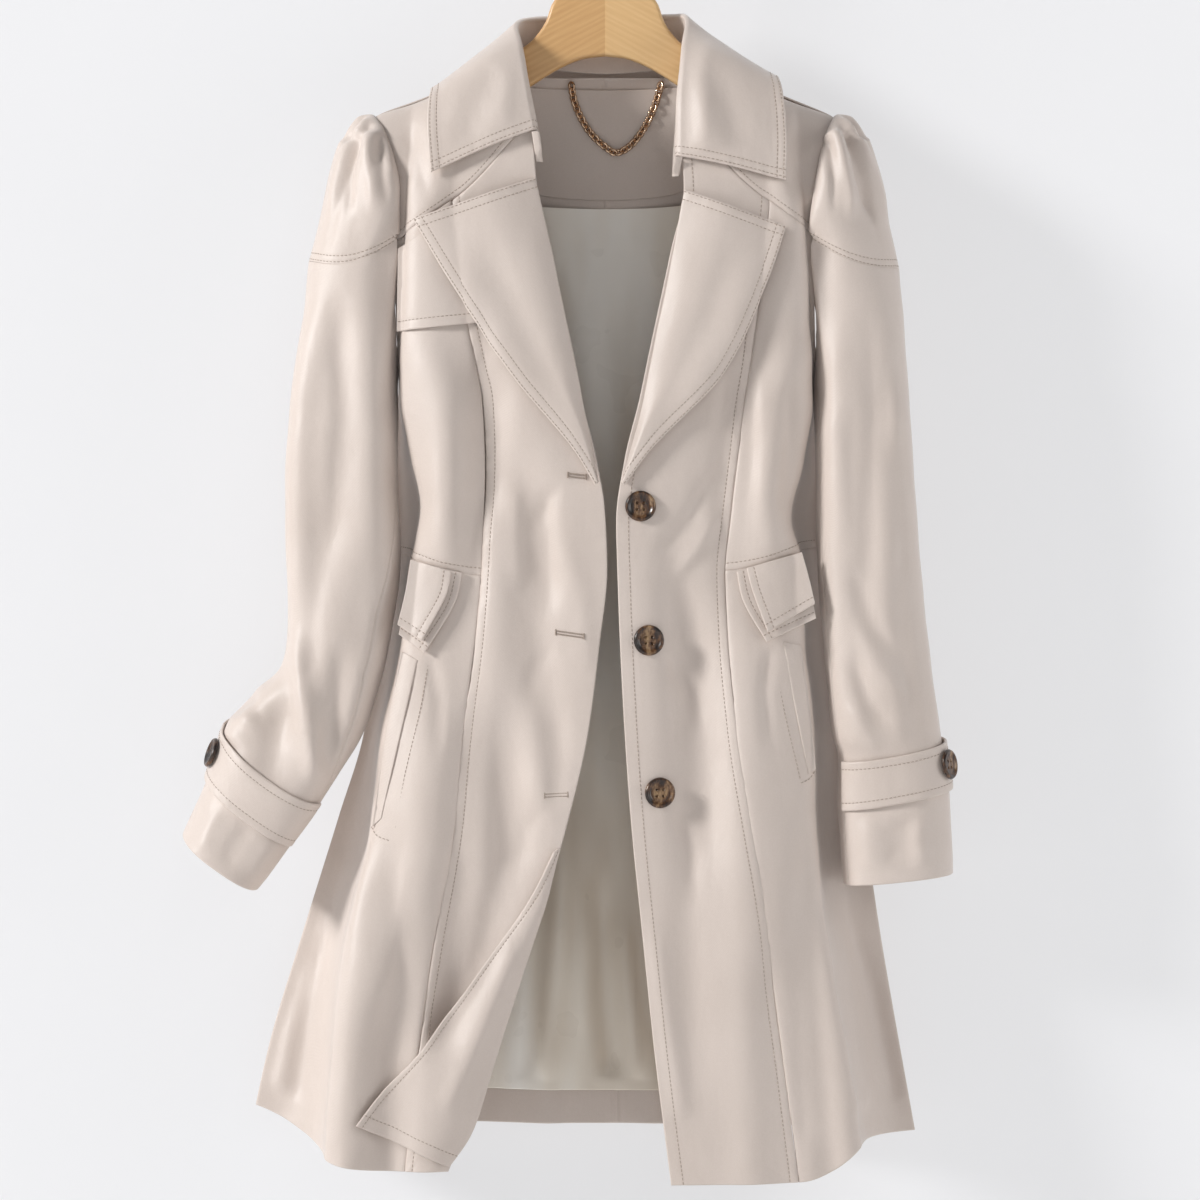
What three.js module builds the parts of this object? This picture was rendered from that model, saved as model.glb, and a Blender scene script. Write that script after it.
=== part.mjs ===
// Trench coat on a wooden hanger, in millimetres.
// +Z is up, the front of the coat faces -Y, and +X is to the right of someone who looks at the front.
// The origin is the inner top of the hanger's hook, where a rail carries it.
// "left" and "right" in names are as seen from the front.

import * as THREE from 'three';

// Driving dimensions
const CLOTH = 1.6;          // one layer of coat cloth with its seam allowance
const DOUBLE = 2.4;         // collar, lapels and facings: two layers
const SEAM_GAP = 0.3;       // clearance between sewn pieces
const PLY = CLOTH + SEAM_GAP;

const RIDGE_TOP = -4;       // the armhole's top, measured from front to back
const SHOULDER_Z = -196;    // height of the sleeve head
const ARMPIT_Z = -397;
const YOKE_Z = -297;        // where the yoke seam meets the armhole

const WIRE = 4;             // hook wire
const HOOK_INNER = 20;      // inside radius of the hook
const HANGER_THICK = 12;
const HANGER_NECK_Z = -72;

const BUTTON = 25;          // diameter of every button
const BUTTON_THICK = 4.2;

// Colours
const SHELL = { color: 0xd6cbc3, roughness: 0.75, metalness: 0 };
const SHELL_INNER = { color: 0xc9beb6, roughness: 0.75, metalness: 0 };
const SATIN = { color: 0xdcd6c9, roughness: 0.4, metalness: 0 };
const HORN = { color: 0x4a3427, roughness: 0.3, metalness: 0 };
const WOOD = { color: 0xc99d66, roughness: 0.5, metalness: 0 };
const STEEL = { color: 0xb9bcc0, roughness: 0.25, metalness: 1 };
const BRASS = { color: 0xc8a572, roughness: 0.3, metalness: 1 };

// Body tables. Each row is one height of the front, z, with four points of the girth:
// x0 front edge or roll line, x1 princess seam, x2 ridge of the side fold, x3 side, and their depths y.
const FRONT = {
  left: [
    { z: -150, x0: -68, y0: -36, x1: -120, y1: -30, x2: -152, y2: -22, x3: -180, y3: -10 },
    { z: -195, x0: -60, y0: -45, x1: -123, y1: -38, x2: -156, y2: -30, x3: -178, y3: -22 },
    { z: -246, x0: -56, y0: -50, x1: -126, y1: -44, x2: -160, y2: -36, x3: -174, y3: -30 },
    { z: -303, x0: -44, y0: -52, x1: -120, y1: -48, x2: -164, y2: -36, x3: -173, y3: -32 },
    { z: -364, x0: -31, y0: -54, x1: -112, y1: -50, x2: -166, y2: -36, x3: -172, y3: -24 },
    { z: -397, x0: -24, y0: -55, x1: -105, y1: -50, x2: -168, y2: -35, x3: -170, y3: -5 },
    { z: -426, x0: -19, y0: -56, x1: -100, y1: -49, x2: -167, y2: -34, x3: -171, y3: 10 },
    { z: -475, x0: -7, y0: -56, x1: -98, y1: -47, x2: -158, y2: -33, x3: -176, y3: 24 },
    { z: -517, x0: 0, y0: -55, x1: -99, y1: -45, x2: -151, y2: -32, x3: -180, y3: 27 },
    { z: -566, x0: 2, y0: -54, x1: -101, y1: -44, x2: -160, y2: -32, x3: -185, y3: 28 },
    { z: -623, x0: -4, y0: -54, x1: -106, y1: -46, x2: -166, y2: -33, x3: -189, y3: 28 },
    { z: -700, x0: -14, y0: -54, x1: -116, y1: -48, x2: -183, y2: -33, x3: -200, y3: 27 },
    { z: -770, x0: -30, y0: -53, x1: -122, y1: -50, x2: -191, y2: -32, x3: -221, y3: 26 },
    { z: -870, x0: -59, y0: -49, x1: -139, y1: -51, x2: -213, y2: -34, x3: -252, y3: 24 },
    { z: -957, x0: -87, y0: -46, x1: -152, y1: -51, x2: -223, y2: -38, x3: -278, y3: 22 },
    { z: -1060, x0: -129, y0: -46, x1: -164, y1: -50, x2: -230, y2: -40, x3: -300, y3: 20 },
  ],
  right: [
    { z: -150, x0: 69, y0: -36, x1: 128, y1: -30, x2: 158, y2: -22, x3: 182, y3: -10 },
    { z: -195, x0: 62, y0: -45, x1: 130, y1: -38, x2: 160, y2: -30, x3: 180, y3: -22 },
    { z: -256, x0: 64, y0: -50, x1: 134, y1: -44, x2: 162, y2: -36, x3: 174, y3: -30 },
    { z: -303, x0: 54, y0: -52, x1: 130, y1: -48, x2: 164, y2: -36, x3: 170, y3: -32 },
    { z: -364, x0: 41, y0: -54, x1: 123, y1: -50, x2: 167, y2: -36, x3: 172, y3: -24 },
    { z: -397, x0: 34, y0: -55, x1: 119, y1: -50, x2: 170, y2: -35, x3: 173, y3: -5 },
    { z: -426, x0: 28, y0: -56, x1: 114, y1: -49, x2: 170, y2: -34, x3: 176, y3: 10 },
    { z: -475, x0: 16, y0: -57, x1: 108, y1: -47, x2: 163, y2: -33, x3: 182, y3: 24 },
    { z: -526, x0: 9, y0: -58, x1: 102, y1: -45, x2: 153, y2: -32, x3: 187, y3: 27 },
    { z: -566, x0: 10, y0: -58, x1: 98, y1: -44, x2: 163, y2: -32, x3: 190, y3: 28 },
    { z: -623, x0: 12, y0: -58, x1: 100, y1: -46, x2: 163, y2: -33, x3: 194, y3: 28 },
    { z: -700, x0: 16, y0: -58, x1: 107, y1: -48, x2: 171, y2: -33, x3: 203, y3: 27 },
    { z: -770, x0: 21, y0: -58, x1: 117, y1: -50, x2: 173, y2: -32, x3: 214, y3: 26 },
    { z: -870, x0: 31, y0: -57, x1: 132, y1: -52, x2: 181, y2: -34, x3: 229, y3: 24 },
    { z: -957, x0: 40, y0: -56, x1: 144, y1: -52, x2: 196, y2: -38, x3: 244, y3: 22 },
    { z: -1068, x0: 54, y0: -55, x1: 158, y1: -51, x2: 215, y2: -40, x3: 264, y3: 20 },
  ],
};

// Seam heights along the girth: g counts 0 front edge, 1 princess, 2 ridge, 3 side.
const SEAMS = {
  left: [
    { g: 0, yoke: -195, armpit: -410, waist: -574, hem: -1056 },
    { g: 1, yoke: -264, armpit: -405, waist: -570, hem: -1056 },
    { g: 2, yoke: -290, armpit: -400, waist: -556, hem: -1046 },
    { g: 3, yoke: YOKE_Z, armpit: ARMPIT_Z, waist: -550, hem: -1008 },
  ],
  right: [
    { g: 0, yoke: -195, armpit: -410, waist: -570, hem: -1066 },
    { g: 1, yoke: -264, armpit: -405, waist: -566, hem: -1064 },
    { g: 2, yoke: -285, armpit: -400, waist: -550, hem: -1036 },
    { g: 3, yoke: -290, armpit: ARMPIT_Z, waist: -545, hem: -1029 },
  ],
};

// Soft vertical folds of the fronts: a ridge where rise is positive, a trough where it is negative.
const FRONT_FOLDS = {
  left: [
    { x0: -142, z0: -380, x1: -128, z1: -560, width: 18, rise: 6 },
    { x0: -98, z0: -360, x1: -104, z1: -600, width: 9, rise: -3 },
    { x0: -70, z0: -470, x1: -44, z1: -720, width: 17, rise: -6 },
    { x0: -90, z0: -500, x1: -96, z1: -820, width: 15, rise: 4 },
    { x0: -205, z0: -800, x1: -214, z1: -1050, width: 16, rise: 6 },
    { x0: -166, z0: -790, x1: -176, z1: -1060, width: 17, rise: -9 },
    { x0: -120, z0: -800, x1: -128, z1: -960, width: 15, rise: -5 },
  ],
  right: [
    { x0: 148, z0: -390, x1: 134, z1: -560, width: 15, rise: 6 },
    { x0: 100, z0: -400, x1: 92, z1: -540, width: 9, rise: -3 },
    { x0: 58, z0: -540, x1: 74, z1: -1000, width: 16, rise: -5 },
    { x0: 106, z0: -600, x1: 118, z1: -1050, width: 18, rise: 5 },
    { x0: 160, z0: -780, x1: 182, z1: -1040, width: 12, rise: -6 },
  ],
};

// Back table: the centre line and the girth's crown, a row for each height.
const BACK = [
  { z: -157, xc: 0, yc: 29 },
  { z: -230, xc: 1, yc: 37 },
  { z: -320, xc: 2, yc: 42 },
  { z: -400, xc: 3, yc: 44 },
  { z: -560, xc: 4, yc: 42 },
  { z: -760, xc: 7, yc: 44 },
  { z: -1026, xc: 11, yc: 48 },
];
const BACK_HEM_Z = -1026;
const BACK_FOLDS = [
  { x0: -60, z0: -520, x1: -105, z1: -1026, width: 20, rise: 6 },
  { x0: -30, z0: -560, x1: -50, z1: -1026, width: 14, rise: -5 },
  { x0: 58, z0: -520, x1: 100, z1: -1026, width: 20, rise: 6 },
  { x0: 30, z0: -600, x1: 44, z1: -1026, width: 14, rise: -5 },
  { x0: -130, z0: -620, x1: -175, z1: -1010, width: 18, rise: -5 },
  { x0: 130, z0: -620, x1: 165, z1: -1010, width: 18, rise: -5 },
];

// Edge of the armhole, from the sleeve head down to the armpit.
const ARMHOLE = {
  left: [
    { z: SHOULDER_Z, x: -192 },
    { z: -208, x: -184 },
    { z: -229, x: -176 },
    { z: -256, x: -171.5 },
    { z: YOKE_Z, x: -172.5 },
    { z: -350, x: -171.5 },
    { z: ARMPIT_Z, x: -170 },
  ],
  right: [
    { z: SHOULDER_Z, x: 191 },
    { z: -208, x: 185 },
    { z: -229, x: 179 },
    { z: -256, x: 174.5 },
    { z: YOKE_Z, x: 170.5 },
    { z: -350, x: 171.5 },
    { z: ARMPIT_Z, x: 173 },
  ],
};
const ARMHOLE_FRONT = -32;
const ARMHOLE_BACK = 20;
const ARMPIT_Y = -5;
const ARMHOLE_GAP = 2.3;    // at the armpit the sleeve's edge lies this far outside the body's
const ARMHOLE_LAP = 2.2;    // above it the sleeve's edge laps over the body's
const SLEEVE_STAND = 3.7;

// Shoulder seams, from the neck to the sleeve head.
const SHOULDER = {
  left: { neckX: -82, neckZ: -150.5, tipX: -192, tipZ: SHOULDER_Z },
  right: { neckX: 82, neckZ: -149.5, tipX: 191, tipZ: SHOULDER_Z },
};
const NECK_BACK_Z = -157;
const NECK_BACK_Y = 29;

// Sleeve tables: a row for each ring below the cap seam. ox, oz outer point, ix, iz inner point,
// yf and yb front and back, droop how far the front of the ring hangs below its sides.
const SLEEVE = {
  left: [
    { ox: -247, oz: -368, ix: -173.5, iz: -419, yf: -48, yb: 20, droop: 6, seam: 176 },
    { ox: -255, oz: -434, ix: -172.5, iz: -458, yf: -52, yb: 21, droop: 3, seam: 174 },
    { ox: -259, oz: -484, ix: -172.5, iz: -500, yf: -52, yb: 21, droop: 2, seam: 168 },
    { ox: -258, oz: -541, ix: -169, iz: -557, yf: -52, yb: 21, droop: 2, seam: 142 },
    { ox: -258, oz: -598, ix: -173.5, iz: -598, yf: -52, yb: 21, droop: 2, seam: 130 },
    { ox: -264, oz: -644, ix: -182, iz: -644, yf: -53, yb: 21, droop: 5, seam: 126 },
    { ox: -289, oz: -670, ix: -201, iz: -701, yf: -56, yb: 21, droop: 12, seam: 134 },
    { ox: -308, oz: -696, ix: -231, iz: -747, yf: -52, yb: 18, droop: 18, seam: 155 },
    { ox: -325, oz: -737, ix: -257, iz: -786, yf: -42, yb: 16, droop: 11, seam: 162 },
    { ox: -346, oz: -783, ix: -286, iz: -825, yf: -42, yb: 18, droop: 8, seam: 162 },
  ],
  right: [
    { ox: 244, oz: -368, ix: 175.5, iz: -419, yf: -48, yb: 20, droop: 6, seam: 168 },
    { ox: 248, oz: -426, ix: 174.5, iz: -458, yf: -52, yb: 21, droop: 3, seam: 160 },
    { ox: 251, oz: -475, ix: 174.5, iz: -500, yf: -52, yb: 21, droop: 2, seam: 156 },
    { ox: 256, oz: -541, ix: 176, iz: -557, yf: -52, yb: 21, droop: 2, seam: 155 },
    { ox: 261, oz: -598, ix: 179.5, iz: -606, yf: -52, yb: 21, droop: 2, seam: 155 },
    { ox: 266, oz: -643, ix: 183, iz: -656, yf: -52, yb: 21, droop: 3, seam: 154 },
    { ox: 271, oz: -676, ix: 187, iz: -697, yf: -51, yb: 20, droop: 5, seam: 154 },
    { ox: 275.5, oz: -705, ix: 192.5, iz: -719, yf: -44, yb: 18, droop: 6, seam: 154 },
    { ox: 281, oz: -745, ix: 193, iz: -761, yf: -42, yb: 16, droop: 4, seam: 154 },
    { ox: 284, oz: -814, ix: 197, iz: -823, yf: -44, yb: 18, droop: 2, seam: 154 },
  ],
};
const CAP = {
  left: { outerX: -242, outerZ: -312, frontZ: -294, droop: 7, bulge: 13 },
  right: { outerX: 240, outerZ: -318, frontZ: -293, droop: 3, bulge: 14 },
};
const CAP_DEPTH = { front: -44, back: 24 };
const CAP_LAP = 1.9;         // the cap's lower edge stands off the sleeve's upper edge
const CAP_TURN = 120;       // degrees from the outer point to the cap seam's end
const CORNER = 130;         // ring angle where the cap seam meets the armhole
const BACK_SEAM = 236;      // ring angle of the sleeve's back seam
const STRAP_ROWS = { top: 8, bottom: 9 };
const STRAP_END = -38;      // ring angle where the strap ends, behind its button

// Small functions

function clamp(value, low, high) {
  return Math.min(high, Math.max(low, value));
}

function lerp(a, b, t) {
  return a + (b - a) * t;
}

function smooth(t) {
  const c = clamp(t, 0, 1);
  return c * c * (3 - 2 * c);
}

function degrees(angle) {
  return THREE.MathUtils.degToRad(angle);
}

// A smooth curve through one column of a table, with no overshoot between rows.
function track(rows, along, key) {
  const order = [...rows].sort((a, b) => a[along] - b[along]);
  const t = order.map((row) => row[along]);
  const v = order.map((row) => row[key]);
  const rise = t.slice(1).map((next, i) => (v[i + 1] - v[i]) / (next - t[i]));
  const slope = t.map((_, i) => {
    if (i === 0) return rise[0];
    if (i === t.length - 1) return rise[i - 1];
    return rise[i - 1] * rise[i] <= 0 ? 0 : 2 / (1 / rise[i - 1] + 1 / rise[i]);
  });
  return (at) => {
    const q = clamp(at, t[0], t[t.length - 1]);
    let i = 0;
    while (i < t.length - 2 && q > t[i + 1]) i += 1;
    const h = t[i + 1] - t[i];
    const u = (q - t[i]) / h;
    const keep = (1 + 2 * u) * (1 - u) * (1 - u) * v[i] + u * u * (3 - 2 * u) * v[i + 1];
    return keep + h * u * (1 - u) * ((1 - u) * slope[i] - u * slope[i + 1]);
  };
}

function tracks(rows, along) {
  const made = {};
  for (const key of Object.keys(rows[0])) {
    made[key] = track(rows, along, key);
  }
  return made;
}

// A smooth line through a few points [x, z] or [x, y, z], walked from 0 to 1.
function line(points) {
  const full = points.map((p) => new THREE.Vector3(p[0], p[1], p[2] ?? 0));
  const curve = new THREE.CatmullRomCurve3(full, false, 'centripetal');
  return (t) => curve.getPoint(clamp(t, 0, 1)).toArray();
}

function foldRise(folds, x, z) {
  let total = 0;
  for (const fold of folds) {
    const t = (z - fold.z0) / (fold.z1 - fold.z0);
    const off = (x - lerp(fold.x0, fold.x1, t)) / fold.width;
    const ends = smooth((t + 0.12) / 0.3) * (fold.z1 < -1000 ? 1 : smooth((1.12 - t) / 0.3));
    total += fold.rise * Math.exp(-off * off) * ends;
  }
  return total;
}

// Skin functions: a point of the finished coat's outside

const frontTrack = { left: tracks(FRONT.left, 'z'), right: tracks(FRONT.right, 'z') };
const seamTrack = { left: tracks(SEAMS.left, 'g'), right: tracks(SEAMS.right, 'g') };
const armholeTrack = { left: track(ARMHOLE.left, 'z', 'x'), right: track(ARMHOLE.right, 'z', 'x') };
const backTrack = tracks(BACK, 'z');

// Depth of the armhole's edge: a half ellipse above the yoke seam and a smaller one round the armpit.
function armholeDepth(z, reach, pitY) {
  if (z > YOKE_Z) {
    const k = clamp((z - YOKE_Z) / (SHOULDER_Z - YOKE_Z), 0, 1);
    return RIDGE_TOP + (reach - RIDGE_TOP) * Math.sqrt(1 - k * k);
  }
  const k = clamp((z - ARMPIT_Z) / (YOKE_Z - ARMPIT_Z), 0, 1);
  return pitY + (reach - pitY) * Math.sqrt(2 * k - k * k);
}

function armholeFront(side, z) {
  return [armholeTrack[side](z), armholeDepth(z, ARMHOLE_FRONT, ARMPIT_Y), z];
}

function armholeBack(side, z) {
  return [armholeTrack[side](z), armholeDepth(z, ARMHOLE_BACK, ARMPIT_Y + PLY + CLOTH), z];
}

function sidePoint(side, z) {
  if (z > ARMPIT_Z) return armholeFront(side, z);
  const f = frontTrack[side];
  return [f.x3(z), f.y3(z), z];
}

// Front of the body at girth g and height z.
function frontSkin(side, g, z) {
  const f = frontTrack[side];
  const x0 = f.x0(z);
  const x1 = f.x1(z);
  const x2 = f.x2(z);
  let x;
  let y;
  if (g <= 1) {
    x = lerp(x0, x1, g);
    y = lerp(f.y0(z), f.y1(z), g) - 3 * Math.sin(Math.PI * g);
  } else if (g <= 2) {
    const u = 1 - Math.pow(2 - g, 1.5);
    x = lerp(x1, x2, u);
    y = lerp(f.y1(z), f.y2(z), 1 - Math.pow(1 - Math.pow(u, 4), 0.5)) - 2 * Math.sin(Math.PI * u);
  } else {
    const u = g - 2;
    const end = sidePoint(side, z);
    const pass = [lerp(x2, end[0], 0.1), end[1]];
    x = (1 - u) * (1 - u) * x2 + 2 * u * (1 - u) * pass[0] + u * u * end[0];
    y = (1 - u) * (1 - u) * f.y2(z) + 2 * u * (1 - u) * pass[1] + u * u * end[1];
  }
  const fade = 1 - smooth((g - 1.8) / 0.4);
  return [x, y - fade * foldRise(FRONT_FOLDS[side], x, z), z];
}

// The front's girth at a given x, found by halving.
function girthAt(side, x, z) {
  const out = Math.sign(frontTrack[side].x3(z));
  let low = 0;
  let high = 2;
  for (let i = 0; i < 24; i += 1) {
    const mid = (low + high) / 2;
    if (frontSkin(side, mid, z)[0] * out < x * out) {
      low = mid;
    } else {
      high = mid;
    }
  }
  return (low + high) / 2;
}

// A point in front of the body at x, z, moved out by lift. Past the ridge it stays level with the panel.
function onFront(side, x, z, lift, level = 1.86) {
  const g = Math.min(girthAt(side, x, z), level);
  return [x, frontSkin(side, g, z)[1] - lift, z];
}

function shoulderPoint(side, t) {
  const s = SHOULDER[side];
  return [lerp(s.neckX, s.tipX, t), RIDGE_TOP * t, lerp(s.neckZ, s.tipZ, t)];
}

// Back of the body. t runs from the centre seam (0) to the side (1), row from the top edge (0) over the
// armpit (1) to the hem (2).
function backTop(side, t) {
  const s = SHOULDER[side];
  const neck = 0.36;
  if (t >= neck) {
    const along = shoulderPoint(side, (t - neck) / (1 - neck));
    return [along[0], along[1] + PLY, along[2]];
  }
  const a = (t / neck) * Math.PI / 2;
  return [
    s.neckX * Math.sin(a),
    lerp(PLY, NECK_BACK_Y, Math.cos(a)),
    lerp(s.neckZ, NECK_BACK_Z, Math.pow(Math.cos(a), 0.7)),
  ];
}

function backDepth(side, t, z, sideY) {
  return lerp(backTrack.yc(z), sideY, Math.pow(t, 2.6));
}

function backSkin(side, t, row) {
  const s = seamTrack[side];
  let x;
  let y;
  let z;
  if (row <= 1) {
    const top = backTop(side, t);
    const pit = ARMPIT_Z;
    z = lerp(top[2], pit, row);
    const edge = armholeBack(side, z);
    const inner = lerp(top[0], lerp(backTrack.xc(z), armholeTrack[side](pit), t), row);
    const settle = Math.sqrt(clamp(2 * row * 1.6 - row * row * 2.56, 0, 1));
    const crown = lerp(top[1], backDepth(side, t, z, 24), row > 0.625 ? 1 : settle);
    const pull = Math.pow(t, 6);
    x = lerp(inner, edge[0], pull);
    y = lerp(crown, edge[1], pull);
  } else {
    const hem = lerp(BACK_HEM_Z, s.hem(3), Math.pow(t, 3));
    const waistRow = (ARMPIT_Z - s.waist(3)) / (ARMPIT_Z - s.hem(3));
    z = row - 1 < waistRow
      ? lerp(ARMPIT_Z, s.waist(3), (row - 1) / waistRow)
      : lerp(s.waist(3), hem, (row - 1 - waistRow) / (1 - waistRow));
    const end = sidePoint(side, z);
    x = lerp(backTrack.xc(z), end[0], t);
    y = backDepth(side, t, z, end[1] + PLY + CLOTH);
  }
  const fade = 1 - smooth((t - 0.75) / 0.25);
  return [x, y + fade * foldRise(BACK_FOLDS, x, z), z];
}

// The sleeve's own edge laps over the armhole's, and lies just outside it at the armpit.
function sleeveEdge(side, z, inFront, fromTop = 90) {
  const edge = inFront ? armholeFront(side, z) : armholeBack(side, z);
  const rise = z - ARMPIT_Z;
  const stand = SLEEVE_STAND * smooth((rise - 2) / 18);
  const lap = smooth((rise - 54) / 26);
  const a = degrees(fromTop);
  return [
    edge[0] + outward(side) * lerp(ARMHOLE_GAP, -ARMHOLE_LAP, lap),
    edge[1] + (inFront ? -1 : 1) * stand * Math.sin(a),
    edge[2] + stand * Math.cos(a),
  ];
}

function outward(side) {
  return side === 'left' ? -1 : 1;
}

// Sleeve: the first ring runs along the cap seam and round the armpit, the others are in the table.
function capSeam(side, q) {
  const cap = CAP[side];
  const phi = degrees(Math.abs(q) * CAP_TURN);
  const end = sleeveEdge(side, cap.frontZ, q >= 0);
  const share = (1 - Math.cos(phi)) / (1 - Math.cos(degrees(CAP_TURN)));
  const reach = q >= 0 ? CAP_DEPTH.front : CAP_DEPTH.back;
  const middle = (CAP_DEPTH.front + CAP_DEPTH.back) / 2;
  const round = lerp(middle, reach, Math.sin(Math.min(phi, Math.PI / 2)));
  const late = smooth((Math.abs(q) - 0.72) / 0.28);
  const y = lerp(round, end[1], late);
  const droop = cap.droop * Math.sin(Math.PI * share) * Math.sign(q);
  return [lerp(cap.outerX, end[0], share), y, lerp(cap.outerZ, end[2], share * share) - droop];
}

function firstRing(side, angle) {
  const turn = angle > 180 ? angle - 360 : angle;
  if (Math.abs(turn) <= CORNER) return capSeam(side, turn / CORNER);
  const w = degrees(90 * (180 - Math.abs(turn)) / (180 - CORNER));
  const z = lerp(ARMPIT_Z, CAP[side].frontZ, 1 - Math.cos(w));
  return sleeveEdge(side, z, turn > 0);
}

function tableRing(row, angle) {
  const a = degrees(angle);
  const c = Math.sign(Math.cos(a)) * Math.pow(Math.abs(Math.cos(a)), 0.8);
  const s = Math.sign(Math.sin(a)) * Math.pow(Math.abs(Math.sin(a)), 0.9);
  return [
    lerp(row.ix, row.ox, (1 + c) / 2),
    lerp(row.yb, row.yf, (1 + s) / 2),
    lerp(row.iz, row.oz, (1 + c) / 2) - row.droop * s,
  ];
}

// Long folds down the sleeve, by ring angle.
const SLEEVE_FOLDS = [
  { angle: 62, width: 22, depth: 5, from: 0.5, to: 8.2 },
  { angle: 104, width: 18, depth: 3.5, from: 1, to: 8 },
  { angle: -70, width: 26, depth: 5, from: 1, to: 8 },
];

function sleeveSkin(side, angle, ring) {
  const rows = SLEEVE[side];
  const count = rows.length;
  const at = (i) => (i <= 0 ? firstRing(side, angle) : tableRing(rows[Math.min(i, count) - 1], angle));
  const i = clamp(Math.floor(ring), 0, count - 1);
  const u = ring - i;
  const p = [at(i - 1), at(i), at(i + 1), at(i + 2)];
  const point = [0, 1, 2].map((k) => {
    const start = i === 0 ? p[2][k] - p[1][k] : (p[2][k] - p[0][k]) / 2;
    const finish = i === count - 1 ? p[2][k] - p[1][k] : (p[3][k] - p[1][k]) / 2;
    const h = u * u * (3 - 2 * u);
    return lerp(p[1][k], p[2][k], h) + u * (1 - u) * ((1 - u) * start - u * finish);
  });
  const row = rows[clamp(i - 1, 0, count - 1)];
  const middle = [(row.ox + row.ix) / 2, (row.yf + row.yb) / 2];
  for (const fold of SLEEVE_FOLDS) {
    const turn = ((angle - fold.angle + 540) % 360) - 180;
    const ends = smooth((ring - fold.from) / 1.5) * smooth((fold.to - ring) / 1);
    const sink = fold.depth * Math.exp(-Math.pow(turn / fold.width, 2)) * ends;
    const away = Math.hypot(point[0] - middle[0], point[1] - middle[1]) || 1;
    point[0] -= sink * (point[0] - middle[0]) / away;
    point[1] -= sink * (point[1] - middle[1]) / away;
  }
  return point;
}

function seamAngle(side, ring) {
  const rows = SLEEVE[side];
  const i = clamp(Math.floor(ring) - 1, 0, rows.length - 2);
  return lerp(rows[i].seam, rows[i + 1].seam, clamp(ring - 1 - i, 0, 1));
}

// Gathered cap between the armhole (v 0) and the cap seam (v 1).
function capSkin(side, q, v) {
  const a = degrees(Math.abs(q) * 90);
  const z = YOKE_Z + (SHOULDER_Z - YOKE_Z) * Math.cos(a);
  const top = sleeveEdge(side, z, q >= 0, Math.abs(q) * 90);
  const low = capSeam(side, q);
  const phi = degrees(q * CAP_TURN);
  const out = outward(side);
  const swell = CAP[side].bulge * (1 - Math.pow(Math.abs(q), 4)) * Math.sin(Math.PI * Math.sqrt(v));
  const gather = 1.8 * Math.cos(q * 19) * (1 - smooth((Math.abs(q) - 0.7) / 0.25)) * v * (1 - v) * 4 * (1 - v);
  const away = swell + gather;
  return [
    lerp(top[0], low[0], v) + out * away * Math.cos(phi) * 0.9,
    lerp(top[1], low[1], v) - away * Math.sin(phi),
    lerp(top[2], low[2] + CAP_LAP, v) + away * 0.42,
  ];
}

// Closed wall between an outer surface and the same surface moved in by its thickness

function wall(name, look, at, size) {
  const { nu, nv, thick, trim = SEAM_GAP / 2, spreadU, spreadV, flip, past = false } = size;
  const turn = flip ? -1 : 1;
  const step = 0.004;
  const hold = (t) => (past ? t : clamp(t, 0, 1));
  const spot = (u, v) => new THREE.Vector3(...at(hold(u), v));
  const outer = [];
  const inner = [];
  for (let i = 0; i <= nu; i += 1) {
    outer.push([]);
    inner.push([]);
    for (let j = 0; j <= nv; j += 1) {
      const u = spreadU ? spreadU(i / nu) : i / nu;
      const v = spreadV ? spreadV(j / nv) : j / nv;
      const along = spot(u, clamp(v + step, 0, 1)).sub(spot(u, clamp(v - step, 0, 1)));
      const normal = spot(u + step, v).sub(spot(u - step, v)).cross(along).normalize();
      const point = spot(u, v);
      outer[i].push(point);
      inner[i].push(point.clone().addScaledVector(normal, -thick * turn));
    }
  }
  for (const grid of [outer, inner]) {
    trimEdges(grid, nu, nv, trim);
  }
  return makeMesh(name, look, shellGeometry(outer, inner, nu, nv, turn));
}

// Draws each border of a grid of points back by the seam clearance.
function trimEdges(grid, nu, nv, trim) {
  const pull = (edge, next) => edge.addScaledVector(next.clone().sub(edge).normalize(), trim);
  for (let j = 0; j <= nv; j += 1) {
    pull(grid[0][j], grid[1][j]);
    pull(grid[nu][j], grid[nu - 1][j]);
  }
  for (let i = 0; i <= nu; i += 1) {
    pull(grid[i][0], grid[i][1]);
    pull(grid[i][nv], grid[i][nv - 1]);
  }
}

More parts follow.
